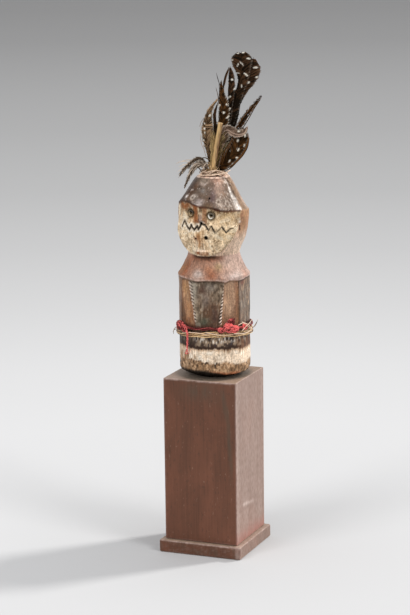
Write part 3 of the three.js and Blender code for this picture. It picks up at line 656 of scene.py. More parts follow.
def tubes(name, paths, radius, sides, material, slot, shade, replaces=()):
    """One piece of round tubes along paths that all have the same number of points.

    shade holds one number for each tube, or one for each point of its path.
    """
    paths = np.asarray(paths, float)
    count, rows = paths.shape[:2]
    shade = np.asarray(shade, float)
    shade = shade if shade.ndim == 2 else np.repeat(shade[:, None], rows, axis=1)
    build(name, rings_round(paths, radius, sides), skin_faces(count, rows, sides), material,
          replaces=replaces, values={"shade": np.repeat(shade[..., None], sides, axis=2)})


def put(tree, socket, value):
    """Links an output to a socket, or sets a number or a colour on it."""
    if isinstance(value, bpy.types.NodeSocket):
        tree.links.new(value, socket)
    else:
        socket.default_value = (*value, 1)[:4] if socket.type == "RGBA" else value


def node(tree, kind, inputs=(), out=0, **settings):
    """Adds a node with its settings and links, and gives one of its outputs.

    inputs fill the node's sockets in order, or by place or name where it is a dict. A
    Mix node's two numbers are its sockets 2 and 3, and its two colours 6 and 7.
    """
    made = tree.nodes.new(f"ShaderNode{kind}")
    for key, value in settings.items():
        setattr(made, key, value)
    for key, value in inputs.items() if isinstance(inputs, dict) else enumerate(inputs):
        put(tree, made.inputs[key], value)
    return made.outputs[out]


def new_material(name):
    """A material with a Principled shader, and its node tree."""
    material = bpy.data.materials.new(name)
    material.use_nodes = True
    return material, material.node_tree


def set_shader(tree, **sockets):
    """Sets or links the shader's sockets by name, with _ for each space."""
    shader = tree.nodes["Principled BSDF"]
    for key, value in sockets.items():
        put(tree, shader.inputs[key.replace("_", " ")], value)


def grains(tree, size, stretch=(1, 1, 1), detail=3, distortion=0):
    """Noise in Object coordinates, with one hill about every size in millimetres."""
    scale = [share / (size * MM) for share in stretch]
    place = node(tree, "Mapping", {"Vector": node(tree, "TexCoord", (), "Object"), "Scale": scale})
    sockets = {"Vector": place, "Scale": 1, "Detail": detail, "Distortion": distortion}
    return node(tree, "TexNoise", sockets, "Fac")


def two_tones(tree, pattern, reach, dark, pale):
    """A colour between two tones: the shade attribute's share, moved by a pattern."""
    shade = node(tree, "Attribute", (), "Fac", attribute_name="shade")
    drift = node(tree, "MapRange", (pattern, 0.3, 0.7, -reach, reach))
    share = node(tree, "Math", (shade, drift), operation="ADD")
    return node(tree, "Mix", {0: share, 6: dark, 7: pale}, 2, data_type="RGBA")


def stained_plinth_wood(colour):
    """Straight-grained hardwood, stained red-brown, waxed and rubbed.

    The stain sinks into the grain as fine dark streaks up the block. Old wax gives a
    broad low gloss and a pale bloom that hides the red where the light grazes it.
    """
    material, tree = new_material("stained_hardwood")
    streak = grains(tree, 1.7, (1, 1, 0.04), 4, 0.3)
    cloud = grains(tree, 26, (1, 1, 0.5), 3, 0.6)
    pores = grains(tree, 2.4, (1, 1, 0.5), 4)
    base = tuple(c * 0.78 for c in colour)
    pale = tuple(min(1, c * 1.45 + 0.008) for c in colour)
    pore = tuple(c * 0.4 for c in colour)
    # Each layer: where its pattern starts and ends, its share at both, and its tone
    layers = (
        (streak, 0.34, 0.62, 0, 1, colour), (cloud, 0.42, 0.72, 0, 0.75, pale),
        (pores, 0.28, 0.42, 0.55, 0, pore), (pores, 0.66, 0.74, 0, 0.35, rgb("9A7A68")),
    )
    for *spread, tone in layers:
        share = node(tree, "MapRange", spread)
        base = node(tree, "Mix", {0: share, 6: base, 7: tone}, 2, data_type="RGBA")
    # Some marks are painted light: the shadow round the figure's foot, the sheen on the lit side and the
    # light on the tops
    for name, code, most in PLINTH_MARKS:
        mask = node(tree, "Attribute", (), "Fac", attribute_name=name)
        uneven = node(tree, "MapRange", (pores, 0.35, 0.6, most * 0.6, most))
        share = node(tree, "Math", (mask, uneven), operation="MULTIPLY")
        base = node(tree, "Mix", {0: share, 6: base, 7: rgb(code)}, 2, data_type="RGBA")
    set_shader(
        tree, Base_Color=base, IOR=1.5, Specular_IOR_Level=0.8, Specular_Tint=(1, 0.86, 0.72),
        Sheen_Weight=0.35, Sheen_Roughness=0.4, Sheen_Tint=(1, 0.8, 0.62),
        Roughness=node(tree, "MapRange", (streak, 0.3, 0.7, 0.62, 0.5)),
        Normal=node(tree, "Bump", {"Height": streak, "Distance": 0.15 * MM, "Strength": 0.3}),
    )
    return material


def handled_wood():
    """Dense carved wood, oiled and handled until it shines, with a crust of kaolin.

    The stain attribute holds what hands, oil, soot and clay left, and painted highlights and
    shadows. Fine grain and flecks break it up, chalk makes it dull and gritty, and polish
    makes it gloss.
    """
    material, tree = new_material("handled_wood")
    base = node(tree, "Attribute", (), "Color", attribute_name="stain")
    chalk = node(tree, "Attribute", (), "Fac", attribute_name="chalk")
    polish = node(tree, "Attribute", (), "Fac", attribute_name="polish")
    streak = grains(tree, 1.5, (1, 1, 0.14), 4, 0.3)
    fleck = grains(tree, 1.7)
    cloud = grains(tree, 7, (1, 1, 0.6), 4, 0.5)
    for spread in (
        (streak, 0.3, 0.7, 0.72, 1.25), (cloud, 0.32, 0.68, 0.8, 1.18), (fleck, 0.34, 0.6, 0.7, 1.12),
    ):
        grey = node(tree, "CombineColor", [node(tree, "MapRange", spread)] * 3)
        base = node(tree, "Mix", {0: 1, 6: base, 7: grey}, 2, data_type="RGBA", blend_type="MULTIPLY")
    shine = node(tree, "MapRange", (polish, 0, 1, 0.62, 0.38))
    uneven = node(tree, "MapRange", (cloud, 0.3, 0.7, 0.1, -0.06))
    uneven = node(tree, "Math", (shine, uneven), operation="ADD")
    grit = node(tree, "MapRange", (chalk, 0, 1, 0.35, 1))
    grit = node(tree, "Math", (fleck, grit), operation="MULTIPLY")
    set_shader(
        tree, Base_Color=base, IOR=1.5, Specular_IOR_Level=0.5, Specular_Tint=(1, 0.86, 0.7),
        Roughness=node(tree, "Mix", {0: chalk, 2: uneven, 3: 0.92}, data_type="FLOAT"),
        Normal=node(tree, "Bump", {"Height": grit, "Distance": 0.5 * MM, "Strength": 0.6}),
    )
    return material


def plain_fibre(name, dark, pale, roughness, size, bump, sheen=0, stretch=(1, 1, 1)):
    """A dry fibre, such as straw, cane, yarn or bone: two tones in streaks of one size.

    The shade attribute, where the piece has one, moves a whole fibre between the tones.
    """
    material, tree = new_material(name)
    streak = grains(tree, size, stretch)
    set_shader(
        tree, Base_Color=two_tones(tree, streak, 0.35, dark, pale), IOR=1.5,
        Roughness=roughness, Sheen_Weight=sheen,
        Normal=node(tree, "Bump", {"Height": streak, "Distance": bump * MM, "Strength": 0.6}),
    )
    return material


def feather_vane(name, dark, pale, spot):
    """Feather barbs: dark keratin with a low satin gloss, and chalky white spots.

    shade sets each barb apart from the next, and spot is how white a point is.
    """
    material, tree = new_material(name)
    white = node(tree, "Attribute", (), "Fac", attribute_name="spot")
    cloud = grains(tree, 3.2)
    base = two_tones(tree, cloud, 0.3, dark, pale)
    base = node(tree, "Mix", {0: white, 6: base, 7: spot}, 2, data_type="RGBA")
    set_shader(
        tree, Base_Color=base, IOR=1.54, Roughness=0.7,
        Specular_IOR_Level=0.12, Specular_Tint=(1, 0.75, 0.5),
        Normal=node(tree, "Bump", {"Height": cloud, "Distance": 0.2 * MM, "Strength": 0.3}),
    )
    return material


def studio_floor(colour):
    """Seamless matt paper with a painted pool of light: pale near the object, greyer as it runs back.

    The painted shade is a curve of the distance from the object, in Object coordinates.
    """
    material, tree = new_material("studio_paper")
    away = node(tree, "VectorMath", [node(tree, "TexCoord", (), "Object")], "Value", operation="LENGTH")
    share = node(tree, "MapRange", (away, 0, FLOOR_PAINTED_FALLOFF[-1][0], 0, 1))
    fading = node(tree, "ValToRGB", (share,))
    stops = fading.node.color_ramp.elements
    while len(stops) < len(FLOOR_PAINTED_FALLOFF):
        stops.new(0.5)
    for stop, (metres, level) in zip(stops, FLOOR_PAINTED_FALLOFF):
        stop.position = metres / FLOOR_PAINTED_FALLOFF[-1][0]
        stop.color = (level, level, level, 1)
    sockets = {0: 1, 6: colour, 7: fading}
    base = node(tree, "Mix", sockets, 2, data_type="RGBA", blend_type="MULTIPLY")
    set_shader(tree, Base_Color=base, Roughness=0.95, Specular_IOR_Level=0.1)
    return material


class StageSettings(bpy.types.PropertyGroup):
    """Light and floor."""

    key: FloatProperty(
        name="Key light", description="Strength of the light from behind on the right", default=2.1, min=0)
    fill: FloatProperty(
        name="Fill lights", description="Strength of each of the two lights in front", default=0.95, min=0)
    air: FloatProperty(
        name="Room light", description="Strength of the even light of the room", default=0.65, min=0)
    floor: FloatVectorProperty(
        name="Floor", description="Colour of the studio paper", subtype="COLOR", default=rgb("D2D2D3"))


class CarvingSettings(bpy.types.PropertyGroup):
    """Sizes and colours of the carved figure and its plinth."""

    groove: FloatProperty(
        name="Groove depth", description="Depth of the cut lines, in mm", default=1.1, min=0)
    wobble: FloatProperty(
        name="Tool marks", description="Unevenness of the carved surface, in mm", default=0.3, min=0)
    columns: IntProperty(
        name="Columns", description="Points round the figure's front half", default=262, min=40)
    wood: FloatVectorProperty(
        name="Wood", description="Handled wood", subtype="COLOR", default=rgb("8A5F47"))
    kaolin: FloatVectorProperty(
        name="Kaolin", description="White clay crust", subtype="COLOR", default=rgb("EACFAC"))
    plinth: FloatVectorProperty(
        name="Plinth", description="Stained plinth wood", subtype="COLOR", default=rgb("582A14"))


class TrimSettings(bpy.types.PropertyGroup):
    """Sizes and colours of the straw, yarn, cane and feathers."""

    yarn_radius: FloatProperty(
        name="Yarn radius", description="Half the yarn's thickness, in mm", default=0.4, min=0.1)
    straw_radius: FloatProperty(
        name="Straw radius", description="Half a straw's thickness, in mm", default=0.4, min=0.1)
    barb_radius: FloatProperty(
        name="Barb half width", description="Half the width of a barb, in mm", default=0.5, min=0.05)
    yarn: FloatVectorProperty(
        name="Yarn", description="Red wool", subtype="COLOR", default=rgb("E63C34"))
    straw: FloatVectorProperty(
        name="Straw", description="Dry straw", subtype="COLOR", default=rgb("F2CC94"))
    cane: FloatVectorProperty(
        name="Cane", description="Dry cane", subtype="COLOR", default=rgb("D8B27A"))
    spot: FloatVectorProperty(
        name="Spots", description="White spots of the feathers", subtype="COLOR", default=rgb("F2EBDD"))


def block_mesh(side, low, high, edge, rows, per_side=60):
    """Rings of a square block with rounded edges, and each point's distance from an edge.

    A ring is an inner square pushed out square to its sides, with arcs at its corners.
    The push follows a quarter circle at the top and bottom edges, and inside them the
    ring shrinks towards the middle.
    """
    half = side / 2 - edge
    run = np.linspace(-half, half, per_side)
    arc = np.radians(np.linspace(0, 90, 6)[1:-1])
    spots, pushes = [], []
    for quarter in range(4):
        cos, sin = round(math.cos(quarter * math.pi / 2)), round(math.sin(quarter * math.pi / 2))
        turn = np.array([[cos, sin], [-sin, cos]])
        line = np.stack([run, np.full_like(run, -half)], -1)
        bend = np.full((len(arc), 2), [half, -half])
        spots.append(np.concatenate([line, bend]) @ turn)
        out = np.concatenate([np.tile([0, -1], (per_side, 1)), np.stack([np.sin(arc), -np.cos(arc)], -1)])
        pushes.append(out @ turn)
    spots, pushes = np.concatenate(spots), np.concatenate(pushes)
    bow = np.radians(np.linspace(0, 90, 6))
    caps = np.r_[0.02, 0.2:0.98:12j]
    middle = np.linspace(low + edge, high - edge, rows)[1:-1]
    scale = np.r_[caps, np.ones(2 * len(bow) + len(middle)), caps[::-1]]
    push = edge * np.r_[0.05 + 0 * caps, np.maximum(np.sin(bow), 0.05), 1 + 0 * middle,
                        np.maximum(np.cos(bow), 0.05), 0.05 + 0 * caps]
    level = np.r_[low + 0 * caps, low + edge * (1 - np.cos(bow)), middle,
                  high - edge * (1 - np.sin(bow)), high + 0 * caps]
    flat = spots[None] * scale[:, None, None] + pushes[None] * push[:, None, None]
    points = np.concatenate([flat, np.broadcast_to(level[:, None, None], (*flat.shape[:2], 1))], axis=-1)
    to_side = half + edge - np.abs(points[..., :2])
    to_end = np.minimum(points[..., 2] - low, high - points[..., 2])
    gaps = np.sort(np.stack([to_side[..., 0], to_side[..., 1], to_end], -1), axis=-1)
    return points, np.hypot(gaps[..., 0], gaps[..., 1])


def plinth_marks(points):
    """What years of handling left on the block, and the light and shadow painted with it, each as a share
    between 0 and 1.

    grime: a slanted streak and smudges on the front. The wear mark: a painted sheen over the whole lit
    side, paler near its front corner, a rubbed scuff on it, and the top paler towards its left.
    flush: the stain showing red low on that side. foot: a painted shadow on the top round the figure's
    foot.
    """
    x, y, z = np.moveaxis(points, -1, 0)
    ragged = rough(drawn_up(points, 0.4), 6, 13)
    fibre = rough(drawn_up(points, 0.1), 4, 15)
    front, side = smooth(-y, 37, 37.8), smooth(x, 37, 37.8)
    run = np.interp(z, (90, 135, 169), (32.5, 29.6, 23.7))
    streak = hump(x - run - 1.2 * ragged, 2) * between(z, 62, 110, 158, 174)
    smudge = hump(x - 2, 20) * hump(z - 165, 10)
    grime = front * np.clip(1.3 * streak + 0.9 * smudge * (1 + ragged), 0, 1)
    grime = np.maximum(grime, side * smooth(fibre, 0, 0.4) * smooth(z, 120, 165) * smooth(y, -12, 6) * 0.3)
    scuff = hump(z - 47.7 + 0.11 * y, 1.5) * between(y, -25, -18, 0, 12)
    # The side is paled all over as painted sheen where the key light grazes it; the scuff is real wear
    wear = 0.52 + 0.2 * fibre + 0.24 * fade(y, -38, -27) + 0.6 * scuff * (1 + rough(points, 2.5, 14))
    flush = side * fade(z + 6 * fibre, 14, 30) * 0.8
    top = smooth(z, PLINTH_HEIGHT - 1, PLINTH_HEIGHT - 0.3)
    wear = np.maximum(side * wear, 0.4 * top * smooth(-x, -10, 30))
    # Painted contact shadow: the top goes near-black round the figure's foot, a little less to the left
    away = np.hypot(x - FIGURE_X + 2, y - FIGURE_Y) + 1.2 * ragged
    foot = top * fade(away, 33.5, 40) * (1 - 0.3 * smooth(-x, 14, 26))
    return {"grime": grime, "wear": wear, "flush": flush, "foot": foot}


class FIGURE_OT_plinth(bpy.types.Operator):
    """Builds the plinth's block and foot board."""

    bl_idname = "figure.plinth"
    bl_label = "Plinth"

    def execute(self, context):
        wood = stained_plinth_wood(tuple(context.scene.carving.plinth))
        blocks = (
            ("plinth_foot", FOOT_SIDE, 0, FOOT_HEIGHT, FOOT_EDGE, 12, 0.25),
            ("plinth_block", SHAFT_SIDE, BLOCK_BOTTOM, PLINTH_HEIGHT, BLOCK_EDGE, 120, 0.18),
        )
        for name, side, low, high, edge, rows, upright_wear in blocks:
            points, from_edge = block_mesh(side, low, high, edge, rows)
            ragged = rough(points, 4.5, 3)
            at_top = smooth(points[..., 2], high - 3, high - 1)
            worn = fade(from_edge + 1.1 * ragged, 0.3, 1.7) * mix(upright_wear, 0.7, at_top)
            inwards = unit(points.mean(axis=1, keepdims=True) - points + 1e-6)
            dent = 0.3 * worn * smooth(rough(points, 7, 11), 0, 0.8)
            marks = plinth_marks(points)
            if name == "plinth_foot":
                chip = np.array([CHIP_X, -FOOT_SIDE / 2, FOOT_HEIGHT])
                away = np.linalg.norm((points - chip) / np.array([1.5, 1, 1]), axis=-1)
                dent = dent + CHIP_DEPTH * fade(away, 0.8, 2.6)
                speckled = smooth(rough(points, 1.4, 16), 0, 0.5)
                marks["grime"] = 0.7 * smooth(ragged, -0.2, 0.4)
                marks["wear"] = 0.55 * marks["wear"] + 0.16 * speckled
                marks["flush"] = 0 * speckled
            points = points + inwards * dent[..., None] * np.array([1, 1, 0])
            # The top faces are paler: dust, and painted light where it falls on them from above
            marks["dust"] = smooth(points[..., 2], high - 0.5, high - 0.05)
            marks["wear"] = np.maximum(worn, marks["wear"])
            build(f"{name}_wood", points, skin_faces(1, *points.shape[:2]), wood,
                  replaces=[name], values=marks)
        return {"FINISHED"}


def span(angle, height, angle0, height0, radius=TRUNK_RADIUS):
    """How far points of the surface are from one place on it, across and up."""
    return np.radians(turned(angle - angle0, -180)) * radius, height - height0


def patch(angle, height, angle0, height0, wide, tall, power=2):
    """1 at a place on the surface, and a soft oval fall to 0 round it."""
    across, up = span(angle, height, angle0, height0)
    return np.exp(-(np.abs(across / wide) ** power + np.abs(up / tall) ** power))


def line_distance(angle, height, line, radius=TRUNK_RADIUS):
    """The distance over the surface to the nearest stroke of a bent line."""
    x, y = np.radians(turned(angle, -180)) * radius, height
    best = np.full(x.shape, 1e3)
    ends = [(math.radians(a) * radius, h) for a, h in line]
    for (x0, y0), (x1, y1) in zip(ends, ends[1:]):
        length = (x1 - x0) ** 2 + (y1 - y0) ** 2
        t = np.clip(((x - x0) * (x1 - x0) + (y - y0) * (y1 - y0)) / length, 0, 1)
        best = np.minimum(best, np.hypot(x - x0 - t * (x1 - x0), y - y0 - t * (y1 - y0)))
    return best


def panel_notches(angle, height):
    """The two rows of slanted notches: waves across two strips down the panel's edges.

    Gives the cuts, and the bare pale wood that stands between them.
    """
    cuts, bare = np.zeros_like(angle), np.zeros_like(angle)
    corners = trunk_corners(height)
    slant = math.tan(math.radians(NOTCH_SLANT))
    for order, corner in enumerate(corners[1:3]):
        across = np.radians(turned(angle - corner, -180)) * TRUNK_RADIUS
        side = -1 if order == 0 else 1
        wave = np.cos(2 * np.pi * (height - side * across * slant) / NOTCH_PITCH)
        half = along(NOTCH_STRIP[order], height)
        strip = fade(np.abs(across + side * 0.3), half - 0.5, half + 0.3)
        cuts = cuts + strip * smooth(wave, -0.1, 0.5)
        bare = bare + strip * smooth(-wave + 0.6 * side * across, -0.1, 0.4)
    zone = between(height, 54, 56, 95.5, 96.8)
    return cuts * zone, bare * zone


def figure_grid(columns):
    """Angles, heights and radii of the figure's grid, close together on the face.

    Rows are listed up the figure. Each ledge has a row at its lip and one under it, and
    rows near the rim, the lip and the brow rise and fall with those lines.
    """
    front = np.linspace(-95, 115, columns, endpoint=False)
    angles = np.r_[front, np.linspace(115, 265, BACK_COLUMNS, endpoint=False)]
    zones = (
        (trunk_radius, np.r_[np.linspace(0, 12, 15), np.linspace(12.8, SHOULDER_HEIGHT - UNDERCUT, 96)]),
        (shoulder_radius, np.linspace(SHOULDER_HEIGHT, CHIN_HEIGHT - UNDERCUT, 27)),
        (head_radius, np.linspace(CHIN_HEIGHT, BROW_HEIGHT - UNDERCUT, 98)),
        (crown_radius, np.linspace(BROW_HEIGHT, FIGURE_HEIGHT, 34)),
    )
    heights, radii = [], []
    for shape, rows in zones:
        a, row = np.meshgrid(angles, rows)
        near = between(row, 152, BROW_HEIGHT - UNDERCUT, BROW_HEIGHT, FIGURE_HEIGHT)
        height = row + (around(BROW_LINE, a) - BROW_HEIGHT) * near
        height = np.where(row < 20, mix(row * around(RIM_LINE, a) / RIM, row, smooth(row, 12, 20)), height)
        radii.append(shape(a, height))
        heights.append(height + around(LIP_LINE, a) * fade(np.abs(row - SHOULDER_HEIGHT), 0, 7))
    heights, radii = np.concatenate(heights), np.concatenate(radii)
    return np.broadcast_to(angles, heights.shape), heights, radii


def hole_distance(angle, height, angle0, height0):
    """How far each point lies from a hole, in mm along the surface: the crown leans."""
    across, up = span(angle, height, angle0, height0)
    return np.hypot(across, up * (1.6 if height0 > NOSE_TOP else 1))


def carve(angle, height, radius, groove, wobble):
    """The cut lines, holes, sockets and tool marks, taken off the radius."""
    place = on_figure(angle, height, radius)
    bold = mix(0.98, 0.74, smooth(turned(angle, -180), -2, 14)) * (1 + 0.45 * noise(place, 1.6, 47))
    ink = hump(line_distance(angle, height, ZIGZAG), bold)
    depth = groove * ink
    for angle0, height0 in EYES.values():
        across, up = span(angle, height, angle0, height0, EYE_LEVEL_RADIUS)
        away = np.hypot(across, up) + 0.5 * noise(place, 2.5, 9)
        socket = fade(away, SOCKET_RADIUS - 1, SOCKET_RADIUS + 0.6)
        depth = np.maximum(depth, (EYE_LEVEL_RADIUS - SOCKET_FLOOR) * socket)
    for angle0, height0, size in HOLES:
        away = hole_distance(angle, height, angle0, height0)
        depth = np.maximum(depth, HOLE_DEPTH * fade(away, size - 0.35, size + 0.2))
    across, up = span(angle, height, EAR_SLIT["angle"], EAR_SLIT["height"])
    slit = fade(np.abs(across), EAR_SLIT["width"] / 2 - 0.3, EAR_SLIT["width"] / 2 + 0.2)
    slit = slit * fade(np.abs(up), EAR_SLIT["length"] / 2 - 0.8, EAR_SLIT["length"] / 2)
    cuts, _ = panel_notches(angle, height)
    depth = np.maximum(depth, np.maximum(1.6 * slit, groove * cuts))
    off = np.radians(turned(angle, -180) - along(JAW_LINE, height)) * TRUNK_RADIUS
    comb = smooth(np.cos(2 * np.pi * (height - off) * 0.35), 0, 0.9)
    border = comb * between(off, -7, -4.5, -1.5, 0) * smooth(height, 122, 125)
    border = border * fade(height, 150, 156) * smooth(rough(place, 5, 8), -0.5, 0.2)
    depth = np.maximum(depth, 0.5 * border)
    marks = wobble * (noise(place, 11, 1) + 0.5 * noise(drawn_up(place, 0.5), 4.5, 2))
    cracks = 0.9 * smooth(noise(drawn_up(place, 0.3), 2.6, 6), 0.15, 0.6)
    cracks = cracks - 0.5 * rough(drawn_up(place, 0.5), 3.2, 5)
    marks = marks - cracks * between(height, 0.5, 3, 13, 18)
    over_brow = height - around(BROW_LINE, angle)
    crusted = smooth(height, 121, 123) * fade(over_brow, -3, -1) * fade(off, -3, 1)
    marks = marks - 0.22 * crust_flakes(place) * crusted
    return radius - depth + marks * smooth(height, 0.5, 3), ink, border


def crust_flakes(place):
    """Where the clay has flaked off: small patches 1 to 3 mm across."""
    return smooth(0.5 * noise(place, 2.3, 31) + 0.75 * noise(place, 1.15, 32), 0.18, 0.45)


# Patches of colour on each zone of the figure:
# (colour, angle, height, half width, half height, share), and a squareness above 2
PATCHES = {
    "panel": (
        ("543420", 12, 66, 9, 22, 0.6), ("B6A896", -17, 84, 4, 15, 0.7),
        ("98866F", -11, 66, 5, 12, 0.45), ("4A261A", 0, 89, 4, 5, 0.7),
        ("4E2A1E", -6, 84, 2, 5, 0.5), ("4C302A", 22, 63, 4, 9, 0.8), ("8A7B74", 6, 78, 4, 6, 0.5),
        ("7E7A72", -14, 88, 3, 9, 0.5), ("414A3C", 3, 57, 6, 4, 0.7), ("7E7B78", 14, 91, 6, 4, 0.4),
    ),
    "trunk": (
        ("C09A78", -29, 80, 2.5, 12, 0.5), ("42220E", -42, 62, 4, 9, 0.8),
        ("A87446", -26, 68, 6, 12, 0.6), ("BE8E5C", -33, 90, 6, 8, 0.5),
        ("B08A6C", 45, 78, 4, 16, 0.6), ("6A3626", 80, 94, 6, 4, 0.9),
    ),
    # Of these, the whitish CDBEB6 at -7 degrees and CDBCB6 at 58 degrees are painted highlights
    "shoulder": (
        ("9A5326", -42, 106, 7, 10, 0.85), ("8E4C2B", 18, 102.5, 6, 5, 0.75),
        ("A7602F", 10, 108, 7, 4, 0.4), ("CDBEB6", -7, 103, 6, 4.5, 0.7),
        ("9C8880", 38, 101, 7, 5, 0.45), ("B4A298", 68, 103, 6, 3.5, 0.3),
        ("94604C", 84, 101, 6, 6, 0.6), ("C4A898", 56, 113, 20, 6, 0.6),
        ("CDBCB6", 58, 101.4, 9, 3.2, 0.65), ("8E7844", 31, 110.6, 5, 4, 0.5),
        ("96602C", -57, 104, 6, 8, 0.7),
    ),
    # Of these, F0E4D8 above the ear slit is a painted highlight
    "side": (
        ("8C5F48", 76, 158, 3, 9, 0.65), ("A8705A", 92, 150, 3, 9, 0.5),
        ("DCC2AA", 84, 130, 10, 6, 0.7), ("C4A08E", 63, 148, 4, 3, 0.5),
        ("F0E4D8", 68, 154, 2, 1.6, 0.7),
    ),
    # Of these, F6DCC4 along the top of the mouth is a painted highlight on the lip
    "face": (
        ("95582C", -38, 168.6, 12, 3.8, 0.95, 4), ("A87A54", -46, 163, 4, 5, 0.45),
        ("7A6A4C", 46, 161, 9, 5, 0.4), ("6E5236", 66, 158, 5, 6, 0.65),
        ("5C4026", 31, 164.6, 2.4, 1.6, 0.75), ("A9805C", -2, 134, 6, 8, 0.5),
        ("8A5230", 0, 123.9, 7.6, 2.2, 1.1, 3), ("5E3220", 11, 124, 0.9, 1.4, 0.8),
        ("5E3220", 6, 121.8, 1.2, 0.8, 0.8), ("F6DCC4", -1, 126.8, 6, 1.1, 0.9, 4),
        ("9E5A34", 40, 124, 4, 2.4, 0.85), ("84482A", -7.6, 138.8, 2, 1.6, 0.95),
        ("4A1C10", 31, 166.6, 6, 1.2, 0.9, 4), ("4E2216", -15, 170.2, 5, 1.6, 0.85, 4),
        ("A88454", 46, 158, 12, 7, 0.45), ("B8965E", 42, 143, 14, 8, 0.35),
    ),
    "crown": (
        ("7A6E66", 4, 184, 14, 6, 0.5), ("4E3640", 22, 178, 4, 7, 0.8),
        ("8C6A48", 13, 170, 5, 3, 0.6), ("5A3A26", -28, 186, 4, 8, 0.6),
        ("CDB8AC", -8, 190, 7, 1.6, 0.6), ("D8B4A4", 36, 187, 9, 7, 0.4),
        ("C6BAB8", -3, 174.4, 5, 2.6, 0.6), ("D8C8C0", -4, 171.9, 4, 0.8, 0.6, 4),
        ("F0E6E0", -32, 178, 1.6, 1.5, 0.9), ("9C948C", -15, 178.4, 3.4, 2.6, 0.55),
        ("A39A94", -1, 184, 2.4, 1.6, 0.55), ("9A8A80", 38, 172, 9, 4.5, 0.45),
        ("A89888", -8, 193, 14, 3, 0.7), ("B88E7A", 36, 193, 14, 3, 0.55),
    ),
}
# Patches in and under the left socket, written in the same way
LEFT_EYE_PATCHES = (
    ("24160C", -24.5, 163.8, 5, 1.5, 0.95), ("1A100A", -20, 163.2, 2.6, 1.5, 0.95),
    ("B9854E", -19, 158.6, 3, 3.4, 0.6),
)
# Pale rings with a dark middle on the crown: (angle, height, radius)
CROWN_RINGS = ((49, 171.6, 2.2), (31, 174, 1.9), (-18, 177.9, 1.9))
# The line of the painted highlight down the crown's ridge: (height, angle)
RIDGE_HIGHLIGHT_LINE = ((166, 72), (173, 69.5), (178, 68.5), (184, 68), (190, 68.5), (196, 64))


class WoodSurface:
    """The figure's surface while it is stained: where its points lie, and their colour.

    coarse, middling and fine are patterns of three sizes, and streaks, long_grain and
    hairs run up the grain. below is the part under the waist.
    """

    def __init__(self, angle, height, place, wood):
        self.angle, self.height, self.place = angle, height, place
        self.bearing = turned(angle, -180)
        self.coarse, self.middling = rough(place, 9, 21), rough(place, 3.5, 22)
        self.fine = noise(place, 1.1, 23)
        self.streaks = rough(drawn_up(place, 0.22), 2.6, 24)
        self.long_grain = noise(drawn_up(place, 0.45), 1.3, 44)
        self.hairs = noise(drawn_up(place, 0.2), 1.1, 45)
        self.over_lip = height - around(LIP_LINE, angle)
        self.over_brow = height - around(BROW_LINE, angle)
        self.trunk = fade(self.over_lip, SHOULDER_HEIGHT - 1.4, SHOULDER_HEIGHT - 0.9)
        self.below = fade(height, 46, 50)
        self.stain = np.broadcast_to(np.array(wood), place.shape).copy()

    def lay(self, colour, share):
        """Lays a hex code or a linear colour over the stain by a share between 0 and 1."""
        linear = rgb(colour) if isinstance(colour, str) else colour
        self.stain = mix(self.stain, np.array(linear), np.clip(share, 0, 1)[..., None])

    def lay_patches(self, zone, share):
        """Lays a zone's patches, with ragged edges."""
        for code, angle, height, wide, tall, strength, *power in PATCHES[zone]:
            soft = patch(self.angle, self.height, angle, height, wide, tall, *power)
            ragged = np.clip(soft * (1 + 0.7 * self.middling), 0, 1)
            self.lay(code, share * strength * ragged)


def stain_trunk(wood):
    """A sooty front panel between warmer facets, down to the waist."""
    angle, height, a, lay = wood.angle, wood.height, wood.bearing, wood.lay
    coarse, middling, streaks, hairs = wood.coarse, wood.middling, wood.streaks, wood.hairs
    trunk, over_lip = wood.trunk, wood.over_lip
    corners = trunk_corners(np.clip(height, 50, SHOULDER_HEIGHT))
    panel = trunk * smooth(a - corners[1], -0.8, 0.8) * fade(a - corners[2], -0.8, 0.8)
    lay("A87A50", trunk * smooth(streaks, -0.5, 0.6) * 0.7)
    lay("6A442C", trunk * smooth(-coarse, 0.0, 0.7) * 0.5)
    lay("B8957A", trunk * between(a, 34, 40, 54, 62) * (0.75 + 0.4 * streaks))
    right = trunk * between(a, 64, 68, 120, 150)
    lay("6E6257", right * (0.85 + 0.3 * middling))
    lay("95887C", right * smooth(streaks, 0.05, 0.4) * 0.7)
    lay("52351F", trunk * smooth(-hairs - 0.3 * middling, 0.2, 0.6) * (0.55 - 0.25 * smooth(a, 20, 40)))
    lay("CFAA88", trunk * smooth(hairs + 0.3 * middling, 0.25, 0.6) * 0.45)
    lay("7E6B58", panel * smooth(height, 62, 80))
    lay("543E2A", panel * fade(height, 62, 80))
    grain = middling + 1.1 * wood.long_grain
    lay("BEAF9A", panel * smooth(grain, 0.1, 0.7) * (0.8 - 0.35 * smooth(a, -6, 8)))
    lay("2E2014", panel * smooth(-grain, 0.1, 0.65) * 0.75)
    lay("C4B49E", panel * fade(a - corners[1], 1, 10) * smooth(middling, -0.5, 0.2) * 0.6)
    wood.lay_patches("panel", panel)
    lay("3E2A1E", trunk * hump(a - 65.2 + 1.2 * middling, 2.2) * 0.8)
    lay("5A3A28", trunk * between(-a, 40, 44, 52, 60) * 0.6)
    lay("8A7768", trunk * smooth(-a, 52, 60) * 0.6)
    lay("6E4C34", trunk * fade(height, 58, 76) * between(a, 34, 42, 58, 64) * 0.6)
    wood.lay_patches("trunk", trunk * (1 - panel))
    cuts, bare = panel_notches(angle, height)
    above = trunk * (1 - wood.below)
    lay("2B1F18", above * cuts * 0.9)
    lay("F2DCCC", above * bare * np.clip(0.85 + 0.5 * middling, 0, 1))
    # Painted shadow under the shoulders' overhanging lip
    lay("2A160C", trunk * smooth(over_lip, 94.6, 97) * 0.9)
    # Dark maroon band behind the yarn: red stain from it, and painted shade between its turns
    lay("3E120A", trunk * hump(height - 51, 2.6) * 0.9)


